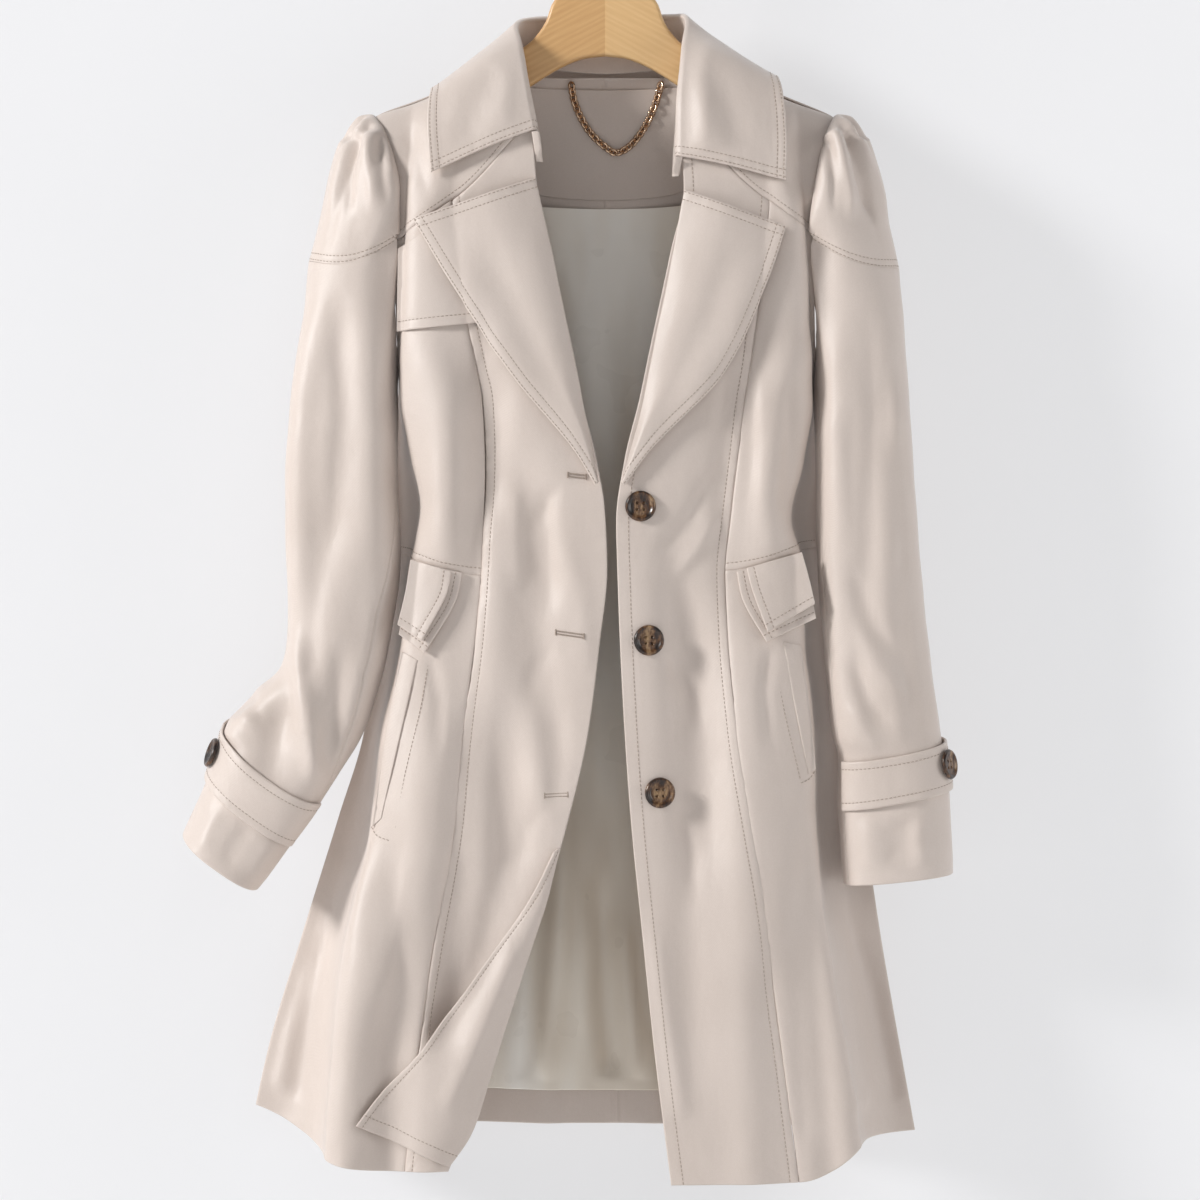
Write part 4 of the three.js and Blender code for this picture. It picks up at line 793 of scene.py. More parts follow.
def stand_skin(u, v):
    foot = collar_lines(u, "nx", "ny", "nz")
    roll = collar_lines(u, "rx", "ry", "rz")
    x, y, z = lerp(foot, roll, v * STAND["top"])
    way = from_neck(x, y)
    return x - STAND["inset"] * way[0], y - STAND["inset"] * way[1], z + STAND["foot"]


def rolled_stand(u, v):
    """The stand, with its front ends curled over towards the fronts."""
    w = lerp(-ROLL["share"], 1 + ROLL["share"], u)
    x, y, z = stand_skin(clip(w), v)
    t = clip(np.maximum(-w, w - 1) / ROLL["share"])
    way = np.where(w < 0.5, -1.0, 1.0)
    bow = ROLL["bow"] * np.sin(np.pi * t)
    taper = lerp(0.3, 1, smooth(v * 2))
    return x + way * (ROLL["across"] * t - bow * taper), y - ROLL["forward"] * t - bow * taper, z


def rolled_collar(u, v):
    """The fall of the collar, with its fold carried back to the top of the stand."""
    w = lerp(-ROLL["share"], 1, v)
    t = clip(-w / ROLL["share"])
    x, y, z = collar_skin(u, clip(w))
    foot_x, foot_y, foot_z = stand_skin(u, 1)
    way = from_neck(x, y)
    bow = ROLL["bow"] * 0.6 * np.sin(np.pi * t)
    x, y, z = lerp(x, foot_x, t), lerp(y, foot_y, t), lerp(z, foot_z, t)
    return x - bow * way[0], y - bow * way[1], z + bow * 0.4


def between(first, last, u, v):
    """x and z on the way from one line to another."""
    place = lerp(line(first)(v), line(last)(v), u[..., None])
    return place[..., 0], place[..., 1]


def lapel_skin(side, u, v):
    """Outer face of a lapel, from its roll line, u = 0, to its edge, u = 1."""
    lift = lerp(LAPEL_LIFT["roll"], LAPEL_LIFT["edge"], smooth(u * 2.2)) * lerp(1, 0.8, smooth(v * 3 - 2))
    crest = np.sin(np.pi * np.power(clip(u), 0.7)) * (1 - smooth(v * 1.5 - 0.5)) * 0.6
    lift = lift + LAPEL_LIFT["crest"] * crest
    return on_front(side, *between(LAPEL[side]["roll"], LAPEL[side]["edge"], u, v), lift, 2)


def laid_skin(side, borders, lifts, level, u, v):
    """A piece that lies on a front between two borders, lifted by its corners' amounts."""
    top, bottom, outer_top, outer_bottom = lifts
    lift = lerp(lerp(top, bottom, v), lerp(outer_top, outer_bottom, v), u)
    return on_front(side, *between(*borders, u, v), lift, level)


def corner_skin(u, v):
    """The turned lower corner, from its fold to the front's edge."""
    lift = np.sin(np.pi * np.power(clip(u), 0.6)) * 4 * smooth(v * 4) + 3.4 + 3.6 * u
    return on_front("left", *between(CORNER_FOLD, CORNER_EDGE, u, v), lift, 2)


def strap_skin(side, angle, ring):
    """The strap's inner face, on the sleeve."""
    x, y, z = sleeve_skin(side, angle, ring)
    rows = np.array(SLEEVE[side], float)[np.clip(np.round(ring).astype(int) - 1, 0, len(SLEEVE[side]) - 1)]
    dx = rows[..., 0] - rows[..., 2]
    dz = rows[..., 1] - rows[..., 3]
    size = np.hypot(dx, dz)
    a = np.radians(angle)
    up, out = STRAP_LIFT * np.sin(a), STRAP_LIFT * np.cos(a) / size
    return x + out * dx, y - up, z + out * dz


def inside_back(t, row, inset):
    """The inner face of both backs, with an inset towards the front."""
    lx, ly, lz = back_skin("left", np.abs(t), row)
    rx, ry, rz = back_skin("right", np.abs(t), row)
    on_left = t < 0
    x = np.where(on_left, lx, rx) * (1 - inset * 0.004)
    return x, np.where(on_left, ly, ry) - CLOTH - inset, np.where(on_left, lz, rz)


def facing_skin(u, v):
    t = lerp(-FACING["width"], FACING["width"], clip(u))
    x, y, z = inside_back(t, lerp(0.03, FACING["drop"] - 0.25 * t * t, clip(v)), FACING["gap"])
    return x, y, z - 3 * (1 - clip(v))


def lining_skin(u, v):
    t = lerp(-LINING["width"], LINING["width"], clip(u))
    row = lerp(LINING["top"], LINING["bottom"], clip(v))
    loose = np.maximum(smooth(v * 5), smooth(np.abs(t) * 4))
    x, y, z = inside_back(t, row, LINING["sewn"] + LINING["free"] * loose)
    return x, y + 2 * np.sin(t * 14) * loose, z


def row_height(side, g, row):
    """Height of a panel's row: 0 yoke, 1 armpit, 2 waist, 3 hem."""
    s = SEAM_TRACK[side]
    marks = np.stack([s["yoke"](g), s["armpit"](g), s["waist"](g), s["hem"](g)])
    i = np.clip(np.floor(row).astype(int), 0, 2)
    low = np.take_along_axis(marks, i[None], 0)[0]
    high = np.take_along_axis(marks, i[None] + 1, 0)[0]
    return lerp(low, high, row - i)

# Wrinkles and seams worked into a surface

def px(x, y):
    """A point of the front view's plan as x, z."""
    return PLAN_PIXEL * (x - PLAN_MIDDLE), PLAN_TOP - PLAN_PIXEL * y


def crease(rise, width, points, fade_in=0.3, fade_out=0.3):
    return rise, width, fade_in, fade_out, [px(*p) for p in points]


def creases(*rows):
    return [crease(*row) for row in rows]


def crease_rise(table, x, z):
    """Height of every crease of a table at places of the front view."""
    total = 0 * x
    for rise, width, fade_in, fade_out, pts in table:
        ends = np.array(pts, float)
        along = walked(ends)
        best = np.full(x.shape, 1e9)
        where = np.zeros(x.shape)
        for (ax, az), (bx, bz), size, start in zip(ends[:-1], ends[1:], np.diff(along), along[:-1]):
            t = clip(((x - ax) * (bx - ax) + (z - az) * (bz - az)) / size ** 2)
            off = np.hypot(x - lerp(ax, bx, t), z - lerp(az, bz, t))
            near = off < best
            best = np.where(near, off, best)
            where = np.where(near, start + t * size, where)
        share = where / along[-1]
        taper = smooth(share / max(fade_in, 1e-3)) * smooth((1 - share) / max(fade_out, 1e-3))
        total = total + CREASE_DEPTH * rise * np.exp(-((best / width) ** 2)) * taper
    return total


def waves(p, size, height, seed):
    """Soft unevenness: a few long sine waves in fixed directions."""
    draw = np.random.default_rng(seed)
    total = 0
    for _ in range(5):
        way = draw.normal(size=3) * np.array([1.0, 0.7, 0.55])
        way = way / np.linalg.norm(way) * 2 * np.pi / (size * draw.uniform(0.7, 1.6))
        phase = p[..., 0] * way[0] + p[..., 1] * way[1] + p[..., 2] * way[2]
        total = total + np.sin(phase + draw.uniform(0, 6.3))
    return total * height / 2.4


def steps(length, pitch, fine=(True, True)):
    """Shares 0 to 1 along a length in mm, crowded by the borders."""
    close = [0, 0.35, 0.8, 1.5, 2.3, 3.1, 4.2, 5.6, 7.0, 8.2, 9.4]
    close = [d for d in close if d < length * 0.3]
    low = close if fine[0] else [0]
    high = [length - d for d in (close if fine[1] else [0])][::-1]
    count = max(2, round((high[0] - low[-1]) / pitch))
    middle = list(np.linspace(low[-1], high[0], count + 1)[1:-1])
    return np.array(low + middle + high) / length


class Piece:
    """A sewn piece: its grid of points, normals and border distances."""

    def __init__(self, at, us, vs, flip=False):
        self.at = at
        self.u, self.v = np.meshgrid(us, vs, indexing="ij")
        self.turn = -1 if flip else 1
        self.p = np.stack(np.broadcast_arrays(*at(self.u, self.v)), -1)
        self.n = self.normals(self.u, self.v)
        across = np.linalg.norm(np.diff(self.p, axis=0), axis=-1)
        along = np.linalg.norm(np.diff(self.p, axis=1), axis=-1)
        self.from_u0 = np.concatenate([np.zeros((1, across.shape[1])), np.cumsum(across, 0)], 0)
        self.from_v0 = np.concatenate([np.zeros((along.shape[0], 1)), np.cumsum(along, 1)], 1)
        self.from_u1 = self.from_u0[-1:] - self.from_u0
        self.from_v1 = self.from_v0[:, -1:] - self.from_v0
        self.detail = np.zeros(self.u.shape)

    def spot(self, u, v):
        return np.stack(np.broadcast_arrays(*self.at(u, v)), -1)

    def normals(self, u, v):
        e = 0.003
        du = self.spot(clip(u + e, 0, 1), v) - self.spot(clip(u - e, 0, 1), v)
        dv = self.spot(u, clip(v + e)) - self.spot(u, clip(v - e))
        return unit(np.cross(du, dv) * self.turn)

    def border(self, edge):
        return {"u0": self.from_u0, "u1": self.from_u1, "v0": self.from_v0, "v1": self.from_v1}[edge]

    def run(self, edge):
        return self.from_v0 if edge[0] == "u" else self.from_u0

    def crease(self, table, share=1):
        self.detail += crease_rise(table, self.p[..., 0], self.p[..., 2]) * share


def cut_size(piece):
    """Width, length and area of a piece before it was sewn, from its smooth surface, in metres."""
    width = piece.from_u0[-1].max() * MM
    length = piece.from_v0[:, -1].max() * MM
    one = piece.p[1:, 1:] - piece.p[:-1, :-1]
    other = piece.p[1:, :-1] - piece.p[:-1, 1:]
    area = np.linalg.norm(np.cross(one, other), axis=-1).sum() / 2 * MM ** 2
    return round(float(width), 3), round(float(length), 3), round(float(min(area, 0.995 * width * length)), 5)


def seam_valley(piece, edges, depth=0.5):
    """Cloth that sinks into a seam and swells beside it."""
    for edge in edges:
        d = piece.border(edge)
        piece.detail += -depth * np.exp(-((d / 0.9) ** 2)) + 0.15 * np.exp(-(((d - 4.5) / 3) ** 2))


def pucker(piece, edge, reach, height, seed, pitch=15):
    """Short gathers that a row of stitches draws up beside a border."""
    draw = np.random.default_rng(seed)
    s = piece.run(edge)
    d = piece.border(edge)
    total = 0
    for k in range(3):
        total = total + np.sin(2 * np.pi * s / (pitch * (0.75 + 0.4 * k)) + draw.uniform(0, 6.3) + 0.12 * d)
    soft = 0.6 + 0.4 * np.sin(2 * np.pi * s / 97 + draw.uniform(0, 6.3))
    piece.detail += height * soft * total / 2 * np.exp(-((d / reach) ** 2))


def groove(piece, edge, offset, depth=0.3):
    """The line that a row of stitches draws in."""
    piece.detail -= depth * np.exp(-((piece.border(edge) - offset) ** 2))


def shell(name, piece, thick, free=()):
    """A closed thin wall under the piece's surface, with its free borders rounded."""
    half = thick / 2
    thin = np.ones(piece.u.shape)
    for edge in free:
        t = clip(piece.border(edge) / (thick * 0.75))
        thin = np.minimum(thin, np.sqrt(1 - (1 - t) ** 2))
    draw_in = (half * 0.85 * (1 - thin))[..., None] * piece.n
    top = piece.p + piece.n * piece.detail[..., None]
    outer = top - draw_in
    inner = top - piece.n * thick + draw_in
    nu, nv = piece.u.shape
    verts = np.concatenate([outer.reshape(-1, 3), inner.reshape(-1, 3)]) * MM
    index = np.arange(nu * nv).reshape(nu, nv)
    a, b, c, d = index[:-1, :-1], index[1:, :-1], index[1:, 1:], index[:-1, 1:]
    faces = np.stack([a, b, c, d], -1).reshape(-1, 4)
    back = faces[:, ::-1] + nu * nv
    rims = []
    for row in (index[:, 0], index[::-1, -1], index[0, ::-1], index[-1]):
        p, q = row[:-1], row[1:]
        rims.append(np.stack([q, p, p + nu * nv, q + nu * nv], -1))
    faces = np.concatenate([faces, back] + rims)
    if piece.turn < 0:
        faces = faces[:, ::-1]
    piece.top = top
    return make_mesh(name, verts, faces)


def put(name, data):
    """A new object in the scene."""
    placed = bpy.data.objects.new(name, data)
    bpy.context.scene.collection.objects.link(placed)
    return placed


def make_mesh(name, verts, faces):
    mesh = bpy.data.meshes.new(name)
    if isinstance(faces, np.ndarray):
        faces = faces.tolist()
    mesh.from_pydata([tuple(v) for v in np.asarray(verts, float).tolist()], [], faces)
    mesh.update()
    mesh.shade_smooth()
    return put(name, mesh)


# Stitches: short spindles of thread, gathered into one mesh for each group of pieces

STITCH = dict(pitch=3.5, length=2.7, radius=0.34, lift=0.12)
thread = {}


def add_stitches(group, points, normals, pitch=STITCH["pitch"], length=STITCH["length"],
                 radius=STITCH["radius"]):
    """Stitches along a line of points, with the cloth's outward direction at each point."""
    points = np.asarray(points, float)
    along = walked(points)
    count = int(along[-1] / pitch)
    if count < 1:
        return
    middle = (np.arange(count) + 0.5) * along[-1] / count
    pick = lambda s, table: np.stack([np.interp(s, along, table[:, k]) for k in range(3)], -1)
    centre = pick(middle, points)
    ahead = unit(pick(middle + length / 2, points) - pick(middle - length / 2, points))
    up = unit(pick(middle, np.asarray(normals, float)))
    side = np.cross(ahead, up)
    centre = centre + up * STITCH["lift"]
    ring = []
    for end in (-0.3, 0.3):
        for across, high in ((1, 0), (0, 1), (-1, 0), (0, -1)):
            ring.append(centre + ahead * length * end + side * radius * across + up * radius * high)
    tips = [centre - ahead * length / 2 - up * radius * 0.6, centre + ahead * length / 2 - up * radius * 0.6]
    block = np.stack(ring + tips, 1)
    thread.setdefault(group, []).append(block)


STITCH_FACES = [(0, 1, 5, 4), (1, 2, 6, 5), (2, 3, 7, 6), (3, 0, 4, 7)]
STITCH_FACES += [(1, 0, 8), (2, 1, 8), (3, 2, 8), (0, 3, 8), (4, 5, 9), (5, 6, 9), (6, 7, 9), (7, 4, 9)]


def edge_stitches(group, piece, edge, offset):
    """A row of stitches at a fixed distance from a border, on the piece's finished surface."""
    d = piece.border(edge)
    if edge[0] == "v":
        d, top, n = d.T, piece.top.swapaxes(0, 1), piece.n.swapaxes(0, 1)
    else:
        top, n = piece.top, piece.n
    if edge[1] == "1":
        d, top, n = d[::-1], top[::-1], n[::-1]
    points, normals = [], []
    for j in range(d.shape[1]):
        if d[-1, j] < offset:
            continue
        points.append([np.interp(offset, d[:, j], top[:, j, k]) for k in range(3)])
        normals.append([np.interp(offset, d[:, j], n[:, j, k]) for k in range(3)])
    if len(points) > 1:
        add_stitches(group, points, normals)

# Creases of each region: rise, width, points on the plan, and the shares over which both ends fade

FRONT_CREASES = {
    "left": creases(
        (3.4, 14, [(450, 345), (450, 440), (446, 530), (444, 600)]),
        (-3.2, 12, [(498, 350), (496, 450), (492, 545)]), (2.6, 9, [(514, 470), (516, 540), (520, 600)]),
        (-2.8, 10, [(544, 470), (546, 560), (552, 630)]), (1.6, 10, [(534, 690), (536, 760), (540, 820)]),
        (-1.2, 8, [(558, 700), (559, 760), (554, 820)]), (1.1, 9, [(560, 520), (582, 600), (590, 700)]),
        (-1.0, 6, [(566, 482), (548, 500), (530, 540)], 0.3, 0.4),
        (-0.8, 7, [(556, 640), (536, 668), (524, 710)], 0.3, 0.4),
        (-0.8, 7, [(548, 796), (528, 830), (516, 880)], 0.3, 0.4),
        (6.6, 24, [(446, 650), (436, 740), (424, 850), (386, 950), (348, 1060)], 0.3, 0.25),
        (-6.8, 22, [(500, 650), (500, 740), (510, 850), (482, 950), (430, 1070)], 0.3, 0.15),
        (2.2, 9, [(318, 950), (290, 1040), (276, 1100)], 0.3, 0.1),
        (-1.8, 8, [(338, 900), (306, 1000), (292, 1110)], 0.3, 0.1),
        (-1.8, 5, [(430, 650), (440, 700), (436, 770)], 0.2, 0.4),
        (1.4, 6, [(405, 420), (408, 500), (416, 548)]),
    ),
    "right": creases(
        (-5.0, 18, [(672, 540), (696, 650), (702, 760), (704, 920)]),
        (4.0, 24, [(738, 600), (752, 700), (758, 850), (764, 1000)], 0.3, 0.2),
        (-2.2, 8, [(716, 470), (690, 520), (650, 566)], 0.3, 0.4),
        (1.6, 6, [(724, 500), (700, 545), (664, 590)], 0.3, 0.4),
        (-1.6, 6, [(664, 650), (690, 690), (700, 740)], 0.3, 0.4),
        (-1.4, 6, [(674, 800), (690, 850), (694, 910)], 0.3, 0.4),
        (-1.6, 9, [(788, 850), (794, 960), (806, 1150)], 0.3, 0.1),
        (3.0, 10, [(822, 900), (846, 1010), (866, 1120)], 0.3, 0.1),
        (-2.2, 8, [(840, 880), (876, 1000), (900, 1110)], 0.3, 0.1),
        (2.6, 8, [(762, 360), (764, 450), (760, 540)]), (-2.6, 8, [(788, 360), (790, 450), (784, 540)]),
        (1.6, 8, [(650, 900), (664, 1000), (684, 1120)], 0.3, 0.1),
        (-1.6, 5, [(770, 640), (762, 690), (770, 760)], 0.2, 0.4),
    ),
}
SLEEVE_CREASES = {
    "left": creases(
        (2.2, 11, [(302, 300), (299, 420), (296, 560), (305, 650)], 0.2, 0.3),
        (-4.2, 13, [(338, 270), (344, 420), (334, 520), (320, 620)], 0.25, 0.3),
        (3.2, 15, [(368, 270), (373, 420), (370, 530), (352, 610)], 0.25, 0.3),
        (5.0, 8, [(299, 620), (306, 690), (317, 790)], 0.3, 0.2),
        (-2.6, 8, [(344, 630), (338, 710), (331, 780)]), (-4.6, 15, [(288, 690), (277, 750), (268, 790)]),
        (3.0, 9, [(230, 750), (238, 724), (262, 712)]),
        (-1.6, 5, [(262, 690), (246, 706), (238, 726)], 0.3, 0.4),
        (-1.6, 7, [(254, 820), (236, 846), (226, 872)]), (1.3, 6, [(222, 806), (210, 832), (204, 856)]),
        (1.2, 7, [(276, 836), (262, 858), (252, 880)]),
    ),
    "right": creases(
        (-2.4, 9, [(868, 290), (872, 420), (866, 560), (872, 660)]),
        (2.2, 9, [(838, 300), (836, 420), (840, 560)]), (2.2, 10, [(890, 360), (894, 480), (896, 600)]),
        (-1.8, 7, [(848, 560), (868, 620), (900, 664)]), (2.0, 8, [(850, 610), (876, 668), (908, 706)]),
        (-2.4, 7, [(846, 650), (866, 700), (896, 738)]), (1.8, 7, [(850, 696), (862, 730), (880, 752)]),
        (-1.6, 7, [(892, 420), (896, 520), (904, 600)]), (-1.8, 8, [(900, 810), (904, 840), (900, 872)]),
        (1.4, 6, [(922, 812), (914, 838), (926, 866)]), (-1.2, 5, [(884, 820), (894, 846), (886, 868)]),
        (1.4, 8, [(870, 812), (868, 842), (872, 874)]),
    ),
}
SLEEVE_BACK_CREASES = {
    "left": creases(
        (-2.4, 8, [(318, 300), (306, 440), (312, 580)]),
        (-2.6, 7, [(290, 640), (316, 672), (356, 690)], 0.2, 0.3),
        (2.4, 7, [(280, 672), (306, 706), (340, 724)], 0.2, 0.3),
        (-2.4, 7, [(262, 704), (284, 742), (320, 760)], 0.2, 0.3),
    ),
    "right": creases(
        (-2.4, 8, [(888, 300), (892, 440), (884, 600)]),
        (-2.6, 7, [(916, 650), (890, 676), (858, 684)], 0.2, 0.3),
        (2.2, 7, [(920, 684), (896, 712), (862, 722)], 0.2, 0.3),
    ),
}
CAP_CREASES = {
    "left": creases(
        (2.4, 5, [(366, 128), (372, 170), (376, 222)], 0.1, 0.4),
        (-2.6, 5, [(356, 130), (352, 172), (350, 226)], 0.1, 0.4),
        (2.0, 5, [(346, 136), (338, 176), (330, 226)], 0.1, 0.4),
        (-1.8, 4, [(378, 134), (384, 170), (388, 214)], 0.1, 0.4),
    ),
    "right": creases(
        (-3.2, 5, [(847, 130), (856, 176), (874, 229)], 0.05, 0.3),
        (2.8, 5, [(833, 132), (847, 197), (851, 229)], 0.05, 0.3),
        (2.2, 6, [(862, 136), (876, 180), (890, 230)], 0.05, 0.4),
        (-1.8, 4, [(828, 140), (832, 180), (832, 224)], 0.05, 0.4),
    ),
}
YOKE_CREASES = {
    "left": creases(
        (-1.2, 7, [(404, 120), (420, 160), (430, 210)]), (1.0, 8, [(392, 130), (402, 180), (404, 224)]),
    ),
    "right": creases(
        (-1.4, 7, [(800, 116), (796, 160), (790, 210)]), (1.2, 8, [(816, 130), (812, 176), (808, 216)]),
    ),
}
LAPEL_CREASES = {
    "left": creases(
        (-1.6, 14, [(470, 230), (520, 320), (570, 420)]), (1.0, 12, [(520, 210), (556, 320), (586, 430)]),
        (2.6, 20, [(438, 230), (480, 320), (546, 430)]),
    ),
    "right": creases(
        (-1.6, 14, [(740, 232), (706, 330), (650, 420)]), (1.0, 12, [(690, 210), (676, 320), (636, 440)]),
        (2.6, 20, [(766, 240), (730, 340), (668, 430)]),
    ),
}
CORNER_CREASES = creases(
    (-2.0, 9, [(530, 880), (480, 980), (420, 1080)], 0.2, 0.3),
    (2.0, 8, [(520, 930), (480, 1030), (440, 1120)], 0.2, 0.2),
)
COLLAR_CREASES = creases(
    (-1.4, 12, [(500, 60), (480, 100), (462, 160)]), (1.0, 10, [(520, 60), (506, 110), (500, 140)]),
    (-1.4, 12, [(700, 50), (724, 100), (744, 160)]), (1.0, 10, [(690, 70), (700, 120), (706, 150)]),
    (3.0, 22, [(690, 30), (698, 90), (704, 160)], 0.3, 0.1),
)
BACK_CREASES = creases(
    (-2.2, 12, [(520, 520), (500, 700), (470, 900)]), (-2.2, 12, [(690, 520), (712, 700), (744, 900)]),
    (2.0, 10, [(560, 700), (548, 880), (540, 1090)], 0.3, 0.1),
    (2.2, 12, [(650, 680), (664, 880), (676, 1090)], 0.3, 0.1),
    (-1.6, 8, [(470, 300), (520, 330), (560, 390)]), (-1.6, 8, [(744, 300), (700, 330), (650, 390)]),
)
LINING_CREASES = creases(
    (-3.4, 9, [(560, 880), (552, 980), (540, 1090)], 0.3, 0.1),
    (-0.8, 1.6, [(580, 880), (584, 1003), (592, 1092)], 0.1, 0.1),
    (4.4, 10, [(600, 860), (604, 980), (612, 1090)], 0.3, 0.1),
    (-2.6, 8, [(622, 900), (630, 1000), (640, 1090)], 0.3, 0.1),
    (2.4, 10, [(540, 900), (534, 1000), (524, 1090)], 0.4, 0.1),
)

PANEL_ROWS = (4, 6, 11)     # shares of the height between yoke, armpit, waist and hem
made = {}                   # name of a CAD node: the piece that stands for it


def panel_row(v, first, last):
    """Rows of the panel's seams at shares of its height."""
    counts = PANEL_ROWS[first:last]
    marks = np.concatenate([[0], np.cumsum(counts)]) / sum(counts)
    return np.interp(v, marks, np.arange(first, last + 1))


def crowd_ridge(u):
    """Sets columns closer by the armhole's ridge."""
    return np.interp(u, np.linspace(0, 1, 9), [0, 0.17, 0.32, 0.43, 0.5, 0.57, 0.68, 0.84, 1])


def facing_front(piece):
    """1 where the surface looks forward, 0 where it looks back."""
    return smooth(0.5 - piece.n[..., 1] * 1.2)


def finish_piece(node, piece, thick, free, material, group=None, rows=()):
    """Makes a piece's wall and its rows of stitches, each given as a border, an offset and a groove depth."""
    for edge, offset, *depth in rows:
        groove(piece, edge, offset, *depth)
    made[node] = shell(f"{node}_cloth", piece, thick, free)
    made[node].data.materials.append(material)
    cut_size(piece)
    for edge, offset, *_ in rows:
        edge_stitches(group, piece, edge, offset)


def make_fronts():
    for side in SIDES:
        flip = side == "right"
        table = FRONT_CREASES[side]

        def body(girth, rows):
            def at(u, v):
                g = lerp(girth[0], girth[1], u)
                return front_skin(side, g, row_height(side, g, panel_row(v, *rows)))
            return at

        group = f"stitches_front_{side}"
        p = Piece(body((0, 1), (0, 3)), steps(108, 3.2), steps(860, 3.4), flip)
        p.crease(table)
        p.detail += waves(p.p, 60, 0.5, 11)
        seam_valley(p, ["u1", "v0"])
        pucker(p, "u1", 10, 0.28, 21)
        pucker(p, "u0", 12, 0.3, 22, 24)
        pucker(p, "v1", 20, 0.5, 23, 40)
        rows = [("u1", 7), ("u0", 10)] if side == "right" else [("u1", 7)]
        finish_piece(f"front_{side}", p, CLOTH, ["u0", "v1"], CLOTH_LOOK, group, rows)

        columns = crowd_ridge(steps(150, 2.8))
        p = Piece(body((1, 3), (0, 2)), columns, steps(290, 3), flip)
        p.crease(table, facing_front(p))
        p.detail += waves(p.p, 55, 0.5, 12)
        seam_valley(p, ["u0", "u1", "v0", "v1"])
        pucker(p, "v1", 9, 0.35, 24)
        finish_piece(f"side_front_upper_{side}", p, CLOTH, [], CLOTH_LOOK, group, [("v1", 6)])

        p = Piece(body((1, 3), (2, 3)), columns, steps(500, 3.6), flip)
        p.crease(table, facing_front(p))
        p.detail += waves(p.p, 65, 0.6, 13)
        seam_valley(p, ["u0", "u1", "v0"])
        pucker(p, "v0", 12, 0.4, 25)
        pucker(p, "v1", 20, 0.5, 26, 40)
        finish_piece(f"side_front_lower_{side}", p, CLOTH, ["v1"], CLOTH_LOOK)

        p = Piece(lambda u, v: yoke_skin(side, u, v * v), steps(130, 3), steps(110, 3), flip)
        p.crease(YOKE_CREASES[side])
        p.detail += waves(p.p, 45, 0.35, 14)
        seam_valley(p, ["v0", "v1", "u1"], 0.7)
        pucker(p, "v1", 9, 0.3, 27)
        finish_piece(f"yoke_{side}", p, CLOTH, [], CLOTH_LOOK, group, [("v1", 6)])


def make_backs():
    pit, waist = 6 / 23, 12 / 23    # shares of the height
    for side in SIDES:
        s = SEAM_TRACK[side]
        waist_row = 1 + (ARMPIT_Z - s["waist"](3)) / (ARMPIT_Z - s["hem"](3))

        def at(u, v):
            v = clip(v)
            row = np.where(v <= pit, np.power(v / pit, 1.5), np.interp(v, [pit, waist, 1], [1, waist_row, 2]))
            return back_skin(side, u, row)

        p = Piece(at, 1 - np.power(1 - steps(230, 4.5), 1.25), steps(870, 4.5), side == "left")
        p.crease(BACK_CREASES, 1 - facing_front(p))
        p.detail += waves(p.p, 70, 0.6, 15)
        seam_valley(p, ["u0", "u1", "v0"])
        pucker(p, "u0", 10, 0.3, 28)
        pucker(p, "v1", 20, 0.5, 29, 40)
        finish_piece(f"back_{side}", p, CLOTH, ["v1"], CLOTH_LOOK, "stitches_back", [("u0", 6)])


# Pleats of a sleeve cap: place round the crown, half width, rise and reach down the cap.
CAP_PLEATS = (
    (-0.62, 0.05, 1.6, 0.25), (-0.5, 0.04, -2.0, 0.3), (-0.4, 0.05, 2.4, 0.42), (-0.29, 0.035, -2.8, 0.3),
    (-0.2, 0.04, 2.2, 0.25), (-0.11, 0.04, -3.2, 0.55), (0.0, 0.05, 3.0, 0.45), (0.08, 0.03, -2.6, 0.25),
    (0.16, 0.04, 2.0, 0.3), (0.25, 0.045, -3.4, 0.6), (0.36, 0.05, 2.6, 0.4), (0.46, 0.04, -1.8, 0.3),
    (0.58, 0.05, 1.6, 0.25),
)
CAP_REACH = 0.96            # share of the cap seam that the cap covers
ARMPIT_SWELL = 3.2          # how far the under sleeve swells below the armpit


